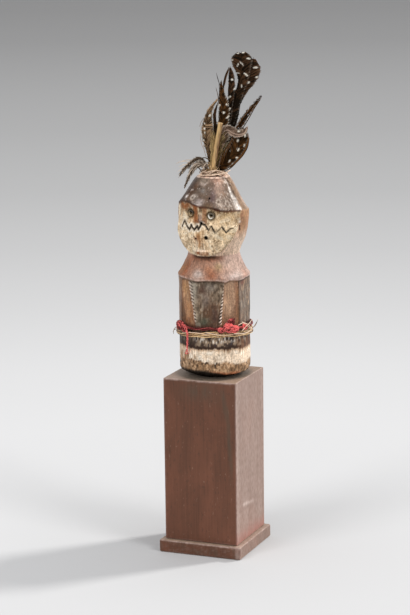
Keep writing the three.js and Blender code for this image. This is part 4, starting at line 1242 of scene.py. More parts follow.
def stain_waist(wood):
    """Below the waist: soot, then a kaolin band, then the bare cracked rim, and painted shadow on the
    underside.

    Gives where the band is.
    """
    angle, height, a, lay = wood.angle, wood.height, wood.bearing, wood.lay
    coarse, middling, fine = wood.coarse, wood.middling, wood.fine
    streaks, hairs, long_grain, below = wood.streaks, wood.hairs, wood.long_grain, wood.below
    top, bottom = around(BAND_TOP, angle), around(BAND_BOTTOM, angle)
    ragged = 1.1 * middling + 0.8 * streaks
    soot = smooth(height - top + 0.6 * ragged, -1.2, 1.2) * below
    lay("8A6448", below * wood.trunk)
    lay("260A00", soot)
    lay("3C2A1E", soot * smooth(height - top + ragged, 3.2, 6.2) * (1 - 0.5 * smooth(a, 66, 84)))
    lay("1C0E06", soot * smooth(-a, 22, 36) * 0.55)
    over = soot * smooth(height - top + ragged, 2.5, 4.5) * (0.15 + 0.85 * smooth(a, -18, 0))
    grain = middling + 1.2 * long_grain
    lay("AC947C", over * smooth(grain, -0.1, 0.5) * 0.75)
    lay("2A2430", over * smooth(-grain, 0.2, 0.6) * 0.7)
    scrawl = smooth(noise(drawn_up(wood.place, 0.4), 1.4, 41) + 0.3 * fine, 0.05, 0.4)
    lay("E6DACC", over * scrawl * smooth(height + 2.5 * middling, 35, 40) * fade(height, 43.5, 45.5))
    lay("6C4428", soot * smooth(a, 52, 70) * smooth(streaks, -0.5, 0.3) * 0.85)
    ragged = ragged + 1.6 * hairs
    band = smooth(height - bottom + ragged, -0.8, 0.8) * fade(height - top + ragged, -0.9, 0.7) * below
    lay("F2DCC2", band * (0.9 + 0.2 * coarse) * (1 - 0.25 * smooth(-a, 16, 36)))
    lay("94704E", band * smooth(middling + 0.8 * hairs, 0.25, 0.65) * (0.8 - 0.35 * smooth(a, -25, 10)))
    lay("FAF0E0", band * smooth(-middling, 0.05, 0.5) * 0.6)
    lay("A87E54", band * smooth(height - top + 3 + 1.5 * hairs, 0.4, 3) * 0.7)
    lay("8E6440", band * fade(a, -34, -20) * smooth(coarse + 0.8 * hairs, -0.2, 0.4) * 0.75)
    rim = fade(height - bottom + ragged, -0.8, 0.8) * below
    lay("8C6A4A", rim)
    lay("CCA884", rim * smooth(middling + 0.6 * fine, 0.0, 0.4) * 0.75)
    cracked = smooth(-middling - 0.5 * long_grain - 0.5 * fine, 0.15, 0.6)
    lay("2C1C10", rim * cracked * (0.95 - 0.35 * smooth(a, 25, 50)))
    over_rim = height - around(RIM_LINE, angle)
    lay("D2845C", rim * fade(over_rim, -1, 3) * between(a, 5, 25, 60, 75) * 0.8)
    # Painted shadow: the underside below the rim goes near-black, reaching higher on the left and front
    lay("120D0A", fade(over_rim - 1.7 * fade(a, 20, 45), -2.2, 0.4))
    return band


def stain_shoulders(wood):
    """Shoulders and neck: rubbed and rosy, orange where the wood is bare, with painted highlights and a
    painted shadow under the chin.

    Gives where they are.
    """
    height, a, over_lip, lay = wood.height, wood.bearing, wood.over_lip, wood.lay
    coarse, middling = wood.coarse, wood.middling
    shoulder = smooth(over_lip, SHOULDER_HEIGHT - 0.9, SHOULDER_HEIGHT - 0.4)
    shoulder = shoulder * fade(height, 120.3, 120.9)
    lay("A0745E", shoulder)
    lay("B4988C", shoulder * smooth(a + 1.5 * (height - 110), 24, 62) * 0.85)
    lay("8A5A3E", shoulder * smooth(coarse + 0.4 * middling, 0.1, 0.6) * (0.5 - 0.35 * smooth(a, 20, 50)))
    wood.lay_patches("shoulder", shoulder)
    # Painted highlight along the shoulders' lower lip
    lay("E8D2C8", shoulder * hump(over_lip - SHOULDER_HEIGHT - 0.2, 0.9) * (0.35 + 0.5 * middling))
    # Painted shadow on the neck under the chin's overhang, warm brown and darkest in the middle
    lay("7C401E", shoulder * smooth(height, 113, 118) * fade(np.abs(a - 3), 30, 48) * 0.6)
    lay("421A06", shoulder * smooth(height, 116.5, 119.5) * fade(np.abs(a - 2), 16, 40) * 0.95)
    return shoulder


def stain_head(wood):
    """The whole head in the tones of its sides, paler low down and darker higher up. Gives where it is."""
    height, coarse, lay = wood.height, wood.coarse, wood.lay
    head = smooth(height, 120.3, 120.9) * fade(wood.over_brow, -1, -0.6)
    lay("A67D5A", head)
    # Paler low down and darker higher up: partly the crust's tones, partly painted light and shade evening
    # out the key light on the upper sides
    lay("DABFA8", head * fade(height + 4 * coarse, 134, 150) * 0.85)
    clouded = smooth(coarse + 0.3 * wood.streaks, 0, 0.6)
    lay("86604A", head * clouded * (0.25 + 0.35 * smooth(height, 130, 150)))
    wood.lay_patches("side", head)
    return head


def stain_face(wood, head, kaolin, ink, border):
    """Kaolin with specks, brown down the middle, ochre beside the nose.

    Gives how chalky it is.
    """
    angle, height, a, lay = wood.angle, wood.height, wood.bearing, wood.lay
    coarse, middling, fine = wood.coarse, wood.middling, wood.fine
    face = head * fade(np.abs(a) - along(JAW_LINE, height) + 2.2 * middling, -1.5, 1.5)
    lay(kaolin, face)
    lay("F4E2C4", face * smooth(-fine - 0.6 * middling, 0.15, 0.7) * 0.7)
    lay("BE9668", face * smooth(coarse, 0.1, 0.7) * 0.3)
    lay("A88A5E", face * smooth(height, 150, 166) * (0.35 + 0.4 * middling))
    lay("6E4E2E", face * crust_flakes(wood.place) * (0.55 + 0.25 * smooth(height, 150, 160)))
    stripe = hump(a - 0.2 + 1.2 * middling, 7, 4) * between(height, 128, 132, 145, 149)
    lay("C09664", face * stripe * (0.6 + 0.5 * middling))
    stroke = hump(a + 2.4 + 1.2 * middling, 3, 4) * between(height, 129, 134, 141, 146)
    lay("A0642E", face * stroke * 0.85)
    crack = hump(a - 3.8 + middling, 1) * fade(height, 144, 149)
    lay("6B4630", face * crack * smooth(fine, -0.3, 0.2) * 0.6)
    across, up = span(angle, height, 3, 150)
    bearing, reach = np.arctan2(across, up), np.hypot(across, up)
    strokes = noise(np.stack([14 * np.cos(bearing), 14 * np.sin(bearing), 0.16 * reach], -1), 1.1, 46)
    lay("FFF2D8", face * smooth(strokes, 0.1, 0.5) * smooth(reach, 10, 18) * 0.55)
    lay("8A6638", face * smooth(-strokes - 0.3 * fine, 0.25, 0.6) * smooth(reach, 12, 20) * 0.42)
    wood.lay_patches("face", face)
    on_nose = smooth(height, 152, 155.5)
    sides = hump(a + 8.2 + 0.22 * (height - 160), 6.6, 6) + hump(a - 7.4, 3.6, 6)
    bars = sides * on_nose
    lay("90501E", face * bars * (0.97 - 0.25 * smooth(a, 0, 4)))
    lay("6E3E1C", face * bars * smooth(middling + wood.streaks, 0.2, 0.8) * 0.5)
    lay("A08478", face * hump(a - 1.4, 2.2, 4) * on_nose * fade(height, 160, 165) * 0.9)
    lay("4A3626", face * hump(a - 1.2, 2.4, 4) * smooth(height, 163, 166) * 0.85)
    lay("4A2A16", face * hump(a + 1.2, 1.1) * between(height, 155, 157, 162, 164) * 0.8)
    lay("6A6468", face * patch(angle, height, 0.6, 155.6, 2.2, 1.4) * 0.8)
    lay("140C07", face * patch(angle, height, 1.6, 153.2, 2.4, 1.1) * 0.95)
    # Dark band just under the brow: brown stain, and painted shade under the crown's overhang
    lay("50281A", face * smooth(wood.over_brow + 0.6 * middling, -3.2, -1.3) * 0.9)
    for angle0, height0 in EYES.values():
        away = np.hypot(*span(angle, height, angle0, height0)) + 0.7 * middling
        lay("8A7350", face * fade(away, 4.2, 5.6) * 0.8)
        lay("5A4A36", face * hump(away - 4.6, 0.8) * 0.5)
        lay("93805F", face * fade(away, 3.2, 4.2))
        across, up = span(angle, height, angle0 + 1, height0 + 0.4)
        lay("140C08", face * fade(np.hypot(0.65 * across, 1.4 * up), 0.9, 1.7))
    for code, *spot, share in LEFT_EYE_PATCHES:
        lay(code, face * patch(angle, height, *spot) * share)
    lay("4E3826", face * border * 0.8)
    off_line = line_distance(angle, height, ZIGZAG)
    broken = mix(1.5, 1.25 + 0.9 * middling, smooth(a, 8, 24))
    for stroke in FAINT_STROKES:
        broken = broken * (1 - 0.42 * hump(line_distance(angle, height, stroke), 0.9, 4))
    lay("FFF4E2", face * hump(off_line - 1.9, 0.6) * fade(a, 0, 10) * 0.8)
    lay("120B06", broken * ink * face)
    return face * (1 - ink) * (1 - 0.8 * bars) * (1 - 0.5 * stripe)


def stain_crown(wood):
    """The crown: dark and glossy, pale near the brow, with painted highlights down the ridge and along its
    outer edge and painted light on its top edge.

    Gives where it is.
    """
    angle, height, a, lay = wood.angle, wood.height, wood.bearing, wood.lay
    coarse, middling, fine = wood.coarse, wood.middling, wood.fine
    crown = smooth(wood.over_brow, -1, -0.5)
    lay("523824", crown)
    lay("7C6049", crown * smooth(coarse + 0.5 * middling, -0.1, 0.5) * 0.48)
    lay("B4A090", crown * smooth(middling + 0.6 * fine, 0.25, 0.7) * 0.45)
    lay("42291A", crown * smooth(-coarse + 0.4 * middling, 0.1, 0.6) * 0.8)
    lay("3A1E0A", crown * between(-a, 22, 34, 70, 110) * 0.9)
    lay("3A2117", crown * fade(wood.over_brow + middling, 0.4, 2.6) * fade(a, 34, 46) * 0.85)
    wood.lay_patches("crown", crown)
    lay("8A6A4E", crown * between(a, 75.5, 78, 96, 106) * (0.9 + 0.3 * middling))
    # Painted highlight along the crown's outer edge, beyond the brown facet
    lay("B89C88", crown * between(a, 97, 104, 114, 124) * 0.8)
    # Painted highlight: a white streak down the ridge, broad low down and fading near the top; worn is only
    # its mask
    from_ridge = np.radians(a - along(RIDGE_HIGHLIGHT_LINE, height)) * 30
    worn = hump(from_ridge, mix(3, 1.2, smooth(height, 168, 188)))
    worn = worn * np.clip(0.8 + 0.9 * middling, 0, 1) * (a < 77)
    lay("FFF6EE", crown * worn * (1 - 0.6 * smooth(height, 184, 191)))
    scratches = smooth(noise(drawn_up(wood.place, 0.5), 1.3, 42), 0.15, 0.5)
    lay("C6B4A6", crown * patch(angle, height, 56, 173, 18, 9) * scratches * 0.6)
    pits = smooth(noise(wood.place, 1.2, 43), 0.3, 0.6)
    lay("4A3A32", crown * patch(angle, height, 54, 172, 16, 8) * pits * 0.6)
    for angle0, height0, size in CROWN_RINGS:
        away = np.hypot(*span(angle, height, angle0, height0, 31)) + 0.5 * middling
        lay("D8C8BA", crown * hump(away - size, 0.7) * (0.5 + 0.4 * middling))
        lay("4A382C", crown * fade(away, 0.5, 1.2) * 0.7)
    lay("D9CCC4", crown * smooth(fine + 0.5 * middling, 0.62, 0.9) * 0.55)
    lay("32231F", crown * smooth(-fine - 0.5 * middling, 0.55, 0.9) * 0.5)
    # Painted light: the crown's flat top edge made pale where the binding's straws shade it
    lay("FCDCC8", crown * smooth(height, 194.2, 195) * (0.8 + 0.4 * middling))
    return crown


def stain_figure(angle, height, place, ink, border, carving):
    """The colour, chalk and polish that hands, oil, soot and clay left on the wood, with highlights and
    shadows painted into the colour.
    """
    wood = WoodSurface(angle, height, place, carving.wood)
    a = wood.bearing
    stain_trunk(wood)
    band = stain_waist(wood)
    shoulder = stain_shoulders(wood)
    head = stain_head(wood)
    crust = stain_face(wood, head, tuple(carving.kaolin), ink, border)
    crown = stain_crown(wood)
    for angle0, height0, size in HOLES:
        away = hole_distance(angle, height, angle0, height0)
        wood.lay("0D0A08", fade(away, size - 0.1, size + 0.5))
    across, up = span(angle, height, EAR_SLIT["angle"], EAR_SLIT["height"])
    wood.lay("1A110C", fade(np.abs(across), 0.5, 1.2) * fade(np.abs(up), 2.2, 3))
    polish = 0.4 + 0.2 * wood.coarse + 0.2 * shoulder * fade(a, 40, 70)
    polish = polish + 0.3 * crown * (1 - 0.6 * smooth(a, 40, 62))
    polish = polish - 0.5 * crown * patch(angle, height, 60, 186, 18, 12)
    return wood.stain, np.clip(np.maximum(crust, band), 0, 1), np.clip(polish, 0, 1)


class FIGURE_OT_carving(bpy.types.Operator):
    """Builds the carved figure: trunk, shoulders, head and crown in one piece."""

    bl_idname = "figure.carving"
    bl_label = "Carved figure"

    def execute(self, context):
        carving = context.scene.carving
        angle, height, radius = figure_grid(carving.columns)
        radius, ink, border = carve(angle, height, radius, carving.groove, carving.wobble)
        points = on_figure(angle, height, radius)
        stain, chalk, polish = stain_figure(angle, height, points, ink, border, carving)
        # Three rings close each end, and shrink towards the figure's axis
        shrink = np.array([0.03, 0.35, 0.7])[:, None, None] * [1, 1, 0] + [0, 0, 1]
        axis = np.array([FIGURE_X, FIGURE_Y, 0])
        low = axis + (points[:1] - axis) * shrink
        high = axis + (points[-1:] - axis) * shrink[::-1]
        points = np.concatenate([low, points, high])
        values = {
            key: np.concatenate([value[:1]] * 3 + [value] + [value[-1:]] * 3)
            for key, value in (("stain", stain), ("chalk", chalk), ("polish", polish))
        }
        build("figure_carving", points, skin_faces(1, *points.shape[:2]), handled_wood(),
              replaces=["figure"], values=values)
        return {"FINISHED"}


class FIGURE_OT_eyes(bpy.types.Operator):
    """Builds the small ring in each eye socket."""

    bl_idname = "figure.eyes"
    bl_label = "Eye rings"

    def execute(self, context):
        rows, sides = 48, 12
        turn = np.radians(np.linspace(0, 360, rows, endpoint=False))
        bow = np.radians(np.linspace(0, 360, sides, endpoint=False))
        middle = (EYE_RING["inner"] + EYE_RING["outer"]) / 2
        thick = (EYE_RING["outer"] - EYE_RING["inner"]) / 2
        for name, (angle, height) in EYES.items():
            # A ring: a small round turned about the socket's axis, with a wavy crest
            dark, pale, lit = EYE_TONES[name]
            a = math.radians(angle)
            out = np.array([math.sin(a), -math.cos(a), 0])
            spoke = np.array([math.cos(a), math.sin(a), 0]) * np.cos(turn)[:, None]
            spoke = spoke + np.array([0, 0, 1]) * np.sin(turn)[:, None]
            centre = on_figure(angle, height, SOCKET_FLOOR + 0.3 + EYE_RING["height"] / 2)
            reach = middle * (1 + 0.07 * np.sin(turn * 3 + 0.7))[:, None] + thick * np.cos(bow)
            rings = centre + spoke[:, None] * reach[..., None]
            rings = rings + out * (EYE_RING["height"] / 2 * np.sin(bow))[None, :, None]
            material = plain_fibre(f"{name}_bone", rgb(dark), rgb(pale), 0.5, 1.2, 0.15)
            # Painted light: each ring is pale on its lit side and dark on the far side
            shade = 0.4 + 0.7 * np.cos(turn - math.radians(lit))[:, None] + 0 * reach
            build(f"{name}_ring", rings, skin_faces(1, rows, sides, loop=True)[:, ::-1], material,
                  replaces=[name], values={"shade": shade})
        return {"FINISHED"}


def strand_path(strand, count):
    """The path of a strand round the waist, just clear of the trunk's corners."""
    angle = np.linspace(0, 360, count, endpoint=False)
    height = strand["height"] + strand["wave"] * np.sin(np.radians(2 * angle + strand["phase"]))
    step = 360 / 32
    turns = np.linspace(-step, step, 5)
    near = np.stack([trunk_radius(angle + turn, strand["height"]) for turn in turns])
    return angle, height, near.max(axis=0) + STRAND_LIFT + strand["radius"]


def twisted(strand, count, thread, turns, rows=240):
    """Rings of threads that twist round a strand's path, closed into hoops.

    Thread k lies at the angle 360 k / count + turns times the angle round the waist,
    and a slow sine lets it stray from the strand.
    """
    angle, height, reach = strand_path(strand, rows)
    room = strand["radius"] - thread
    hoops = []
    for k in range(count):
        twist = np.radians(angle * turns + 360 * k / count) + 0.35 * np.sin(np.radians(angle * 5 + 70 * k))
        wander = 0.45 * np.sin(np.radians(angle * (3 + k) + 130 * k + strand["phase"]))
        path = on_figure(angle, height + room * np.sin(twist) + wander, reach + room * np.cos(twist))
        closed = np.concatenate([path[-1:], path, path[:1]])
        hoops.append(rings_round(closed[None], thread, 6)[0, 1:-1])
    return np.stack(hoops), angle


class FIGURE_OT_straw(bpy.types.Operator):
    """Builds the straw: two strands round the waist and the binding on the crown."""

    bl_idname = "figure.straw"
    bl_label = "Straw"

    def execute(self, context):
        trim = context.scene.trim
        pale = tuple(trim.straw)
        dark = (pale[0] * 0.16, pale[1] * 0.11, pale[2] * 0.08)
        straw = plain_fibre("dry_straw", dark, pale, 0.5, 2, 0.12, 0.1)
        for name, strand in STRAWS.items():
            rings, angle = twisted(strand, 5, trim.straw_radius, 3)
            # The threads' shades: their own tones, and painted shade in the darkest thread and in the upper
            # strand under the yarn
            shade = strand["shade"] + 0.25 * np.sin(np.radians(angle * 3 + 40))[None, :, None]
            shade = shade + np.array([0.75, -0.7, 0.45, -0.4, 0.1])[:, None, None] + 0 * rings[..., 0]
            build(f"{name}_fibres", rings, skin_faces(*rings.shape[:3], loop=True), straw,
                  replaces=[name], values={"shade": shade})
        white = tuple(mix(own, bleach, 0.6) for own, bleach in zip(pale, rgb("F2DACE")))
        bleached = plain_fibre("bleached_straw", dark, white, 0.5, 2, 0.12, 0.1)
        self.loose_ends(bleached)
        self.binding(bleached)
        self.wisps(straw)
        return {"FINISHED"}

    def loose_ends(self, straw):
        """Ends of straw that cross the strands in front and spring out at both sides."""
        paths = [smooth_path([on_figure(*point) for point in end], 24) for end in STRAW_ENDS]
        tubes("straw_ends", paths, np.linspace(0.42, 0.22, 24), 6, straw, slot="straw",
              shade=STRAW_END_TONES)

    def binding(self, straw):
        """Short bent straws laid round the foot of the tuft, each an arc of a ring.

        An arc starts at a random angle, runs 20 to 85 degrees, and drifts in or out and up.
        """
        draw = np.random.default_rng(7)
        count, rows = 90, 14
        start, run = draw.uniform(0, 360, count), draw.uniform(20, 85, count)
        inner, outer = BINDING["inner"] + 0.5, BINDING["outer"] - 1.2
        share = draw.uniform(0, 1, count)
        t = np.linspace(0, 1, rows)[None]
        angle = np.radians(start[:, None] + run[:, None] * t)
        radius = mix(inner, outer, share)[:, None] + draw.normal(0, 3.2, (count, 1)) * (t - 0.5)
        crest = BINDING["height"] * np.sqrt(np.clip(1 - (2 * share - 1) ** 2, 0.1, 1))
        up = 0.7 + draw.uniform(0, 1, (count, 1)) * crest[:, None]
        up = up + draw.normal(0, 2.4, (count, 1)) * (t - 0.5)
        radius, up = np.clip(radius, inner - 1.5, outer + 0.8), np.clip(up, 0.6, BINDING["height"] + 1.4)
        spot = (FIGURE_X + radius * np.sin(angle), FIGURE_Y - radius * np.cos(angle), CROWN_TOP + up)
        tubes("crown_binding_straw", np.stack(spot, -1), np.linspace(0.5, 0.3, rows), 6, straw,
              slot="straw", replaces=["crown_binding"], shade=draw.uniform(-0.3, 1.3, count))
        laid = np.array(LAID_STRAWS)
        bow = np.sin(np.linspace(0, np.pi, rows))[None, :, None] * np.array([0.3, 0.9, 1.2])
        ends = mix(laid[:, None, :3], laid[:, None, 3:6], t[..., None]) + bow
        tubes("crown_binding_laid", tuft_point(ends), np.linspace(0.75, 0.4, rows), 6, straw,
              slot="straw", shade=laid[:, 6])

    def wisps(self, straw):
        """Loose fibres that curl up out of the binding, most of them by the cane's foot."""
        draw = np.random.default_rng(17)
        count, rows = 130, 12
        t = np.linspace(0, 1, rows)[None]
        by_cane = np.arange(count)[:, None] < 70
        foot = tuft_point((CANE["foot"][0], 0, CANE["foot"][2]))[:2]
        turn = draw.uniform(0, 2 * np.pi, (count, 1))
        spread = np.where(by_cane, draw.uniform(1.5, 5, (count, 1)), draw.uniform(7, 12, (count, 1)))
        centre = np.where(by_cane, foot, (FIGURE_X, FIGURE_Y))
        swing = turn + draw.normal(0, 0.8, (count, 1)) * t
        inwards = np.where(by_cane, draw.uniform(0, 3, (count, 1)), draw.uniform(-2.5, 6, (count, 1)))
        drift = spread - inwards * t
        drift = drift + draw.normal(0, 1, (count, 1)) * np.sin(t * np.pi)
        high = np.where(by_cane, draw.uniform(5, 13, (count, 1)), draw.uniform(1, 8, (count, 1)))
        spot = (centre[:, :1] + drift * np.sin(swing), centre[:, 1:] - drift * np.cos(swing),
                CROWN_TOP + 1.5 + high * t ** 0.8)
        tubes("crown_binding_wisps", np.stack(spot, -1), np.linspace(0.4, 0.16, rows), 4, straw,
              slot="straw", shade=draw.uniform(-0.2, 1.1, count))


class FIGURE_OT_yarn(bpy.types.Operator):
    """Builds the red yarn: its turns round the waist, its knots and its tail."""

    bl_idname = "figure.yarn"
    bl_label = "Red yarn"

    def execute(self, context):
        trim = context.scene.trim
        red = tuple(trim.yarn)
        dark = (red[0] * 0.14, red[1] * 0.08, red[2] * 0.06)
        pale = (min(1, red[0] + 0.15), red[1] + 0.13, red[2] + 0.13)
        wool = plain_fibre("woollen_yarn", dark, pale, 0.9, 0.8, 0.25, 0.08)
        thread = trim.yarn_radius
        rings, angle = twisted(YARN, 5, thread, 7)
        near = sum(hump(turned(angle - knot[0], -180), 6) for knot in YARN_KNOTS)
        # Dark between the knots and paler by them: the yarn's darker tone there, and painted shade on the
        # belt; one thread is paler all round
        shade = np.clip(-0.2 + 1.1 * near, -0.2, 0.8)[None, :, None] + 0 * rings[..., 0]
        shade[0] += 0.45
        build("red_yarn_turns", rings, skin_faces(*rings.shape[:3], loop=True), wool,
              replaces=["red_yarn"], values={"shade": shade})
        self.knots(wool, thread)
        self.tail(wool, thread)
        return {"FINISHED"}

    def knots(self, wool, thread):
        """Tangles: each thread runs in open loops inside the knot's flattened ball.

        A loop is a wobbling circle seen from outside, and its centre drifts.
        """
        draw = np.random.default_rng(11)
        rows = 90
        t = np.linspace(0, 1, rows)
        paths, shades = [], []
        for angle, height, size, each, tone in YARN_KNOTS:
            for _ in range(2 * each):
                turns, start = draw.uniform(1.6, 2.8), draw.uniform(0, 2 * np.pi)
                wide = size * draw.uniform(0.4, 0.8)
                bow = start + 2 * np.pi * turns * t
                loop = wide * (1 + 0.3 * np.sin(t * 9 + start))
                drift = draw.uniform(-1, 1, (2, 2)) * (size - wide)
                across = drift[0, 0] + drift[0, 1] * t + loop * np.cos(bow)
                up = (drift[1, 0] + drift[1, 1] * t) * 0.8 + 0.75 * loop * np.sin(bow)
                depth = size * 0.62
                out = depth * (0.15 + 0.75 * np.sin(bow * 0.63 + start * 2) * (1 - (wide / size) ** 3))
                reach = np.maximum(TRUNK_RADIUS + STRAND_LIFT + depth + out, TRUNK_RADIUS + thread + 0.3)
                paths.append(on_figure(angle + np.degrees(across / 39), height + up, reach))
                shades.append(tone + draw.uniform(-0.6, 0.5) + 0.4 * np.sin(bow))
        tubes("red_yarn_knots", paths, thread, 6, wool, slot="red_yarn", shade=np.stack(shades))

    def tail(self, wool, thread):
        """The tail's two plies, which part at its end."""
        line = smooth_path([on_figure(*point) for point in YARN_TAIL], 60)
        t = np.linspace(0, 1, 60)
        paths = []
        for start in (0, np.pi):
            twist = t * 30 + start
            spread = 0.6 + 0.8 * smooth(t, 0.8, 1)
            paths.append(line + spread[:, None] * np.stack([np.cos(twist), np.sin(twist) * 0.5, 0 * t], -1))
        tubes("red_yarn_tail", paths, thread * mix(1.6, 1, t), 6, wool, slot="red_yarn", shade=[0.95, 0.6])


class FIGURE_OT_cane(bpy.types.Operator):
    """Builds the cut cane stub that stands in the tuft."""

    bl_idname = "figure.cane"
    bl_label = "Cane stub"

    def execute(self, context):
        pale = tuple(context.scene.trim.cane)
        dark = (pale[0] * 0.22, pale[1] * 0.16, pale[2] * 0.12)
        cane = plain_fibre("dry_cane", dark, pale, 0.45, 1, 0.12, stretch=(1, 1, 0.05))
        rows, sides = 60, 24
        foot, head = tuft_point(CANE["foot"]), tuft_point(CANE["head"])
        t = np.linspace(0, 1, rows)
        line = foot + (head - foot) * t[:, None]
        radius = mix(*CANE["radius"], t) * (1 - 0.03 * np.sin(t * 9))
        wall = rings_round(line[None], radius[None], sides)[0]
        # The cut top: rings that shrink over the rim and down a shallow hollow
        cut = [head + (wall[-1] - head) * shrink + unit(head - foot) * drop
               for shrink, drop in ((0.92, 0.25), (0.62, 0.3), (0.5, -0.6), (0.1, -1.0))]
        rings = np.concatenate([wall, np.stack(cut)])
        # Painted light and shade: the skin is paler on its left and darker on its right, wavers along the
        # stub and darkens towards its top
        leftwards = tuft_point((-1, 0, 0.35)) - tuft_point((0, 0, 0))
        along_cane = 0.22 * np.sin(t * 7 + 1) - 0.25 * smooth(t, 0.3, 0.9)
        skin = 0.5 + 0.62 * (unit(wall - line[:, None]) @ leftwards) + along_cane[:, None]
        top = np.repeat([[0.8], [0.5], [-0.6], [-1.0]], sides, axis=1)
        build("cane_stub_cane", rings, skin_faces(1, *rings.shape[:2]), cane,
              replaces=["cane_stub"], values={"shade": np.concatenate([skin, top])})
        return {"FINISHED"}


def feather_frame(spine, count):
    """Points along a spine, with its direction, its broad side and its face."""
    line = tuft_point(smooth_path(spine, count))
    forward = unit(np.gradient(line, axis=0))
    facing = unit(tuft_point((0, 0, 1)) - tuft_point((0, 0, 0)))
    across = unit(np.cross(forward, facing))
    return line, forward, across, np.cross(across, forward)


def at_share(rows, share):
    """Values listed evenly along a length, read at any share of it."""
    at = np.linspace(0, 1, len(rows))
    return np.stack([np.interp(share, at, rows[:, k]) for k in range(rows.shape[1])], axis=-1)


def barb_paths(feather, draw, count, stir=1.0, hold=1.0, rows=12):
    """Barbs of both sides: each leaves the quill, leans to the tip and thins out.

    A barb's share along the spine grows as t^0.9 and its reach to the side as t^1.15,
    so that it bows towards the tip and ends on the vane's outline. stir scales all
    that is random, and hold the reach.
    """
    line, forward, across, face = feather_frame(feather["spine"], 200)
    length = np.linalg.norm(np.diff(line, axis=0), axis=1).sum()
    vane = np.asarray(feather["vane"], float)
    loose = feather["loose"] * stir
    t = np.linspace(0, 1, rows)[None]
    paths, spans, directions = [], [], []
    for side, column in ((-1, 1), (1, 2)):
        root = np.linspace(vane[0, 0] * 0.9, 0.985, count) + stir * draw.normal(0, 0.2 / count, count)
        width = np.interp(root + 0.04, vane[:, 0], vane[:, column])
        lean = feather["lean"] * (1 - 0.8 * smooth(root, 0.82, 0.98))
        end = root + lean * width / length * draw.normal(1, 0.08 * stir + 0.1 * loose, count)
        reach = hold * np.interp(np.minimum(end, 1), vane[:, 0], vane[:, column])
        reach = reach * np.sqrt(np.clip(1 - (np.maximum(end - 0.92, 0) / 0.09) ** 2, 0.05, 1))
        reach = reach * draw.normal(0.98, 0.02 * stir + 0.1 * loose, count)
        share = root[:, None] + (end - root)[:, None] * t ** 0.9
        out = side * reach[:, None] * t ** 1.15
        sway = draw.normal(0, 0.25 * stir + 0.9 * loose, (count, 1)) * t ** 2
        curl = draw.normal(0, 0.5 * loose, (count, 1)) * np.sin(t * np.pi * 1.5)
        spot = np.clip(share, 0, 1)
        past = np.minimum(np.maximum(0, share - 1) * length, 2.2)
        place = at_share(line, spot) + at_share(across, spot) * (out + curl)[..., None]
        place = place + at_share(face, spot) * (sway - 0.06 * np.abs(out) ** 1.3)[..., None]
        place = place + at_share(forward, spot) * past[..., None]
        place[..., 2] -= max(0, loose - 1) * 0.12 * np.abs(out) ** 1.3
        paths.append(place)
        spans.append(np.stack([share, out + 0 * share], -1))
        directions.append(np.stack([at_share(forward, spot), at_share(face, spot)]))
    return np.stack(paths), np.stack(spans), np.stack(directions, 1), length


def spot_share(feather, spans, length):
    """How white each point is: soft ovals at the feather's spots."""
    white = np.zeros(spans.shape[:-1])
    for share, across, half_length, half_width, *tilt in feather.get("spots", ()):
        turn = math.radians(tilt[0] if tilt else 0)
        up, side = (spans[..., 0] - share) * length, spans[..., 1] - across
        u = (up * math.cos(turn) + side * math.sin(turn)) / half_length
        v = (side * math.cos(turn) - up * math.sin(turn)) / half_width
        white = np.maximum(white, fade(np.hypot(u, v), 0.68, 1.12))
    return white


def clumps(draw, count, size):
    """A number for each barb that changes slowly, so that size barbs look alike."""
    steps = draw.uniform(0, 1, count // size + 2)
    return np.interp(np.arange(count) / size, np.arange(len(steps)), steps)


def deep_shade(feather, spans):
    """The tall feathers darken towards the foot of the tuft."""
    return -0.7 * smooth(1 - spans[..., 0], 0.15, 0.55) if feather["tone"] == "black" else 0.0


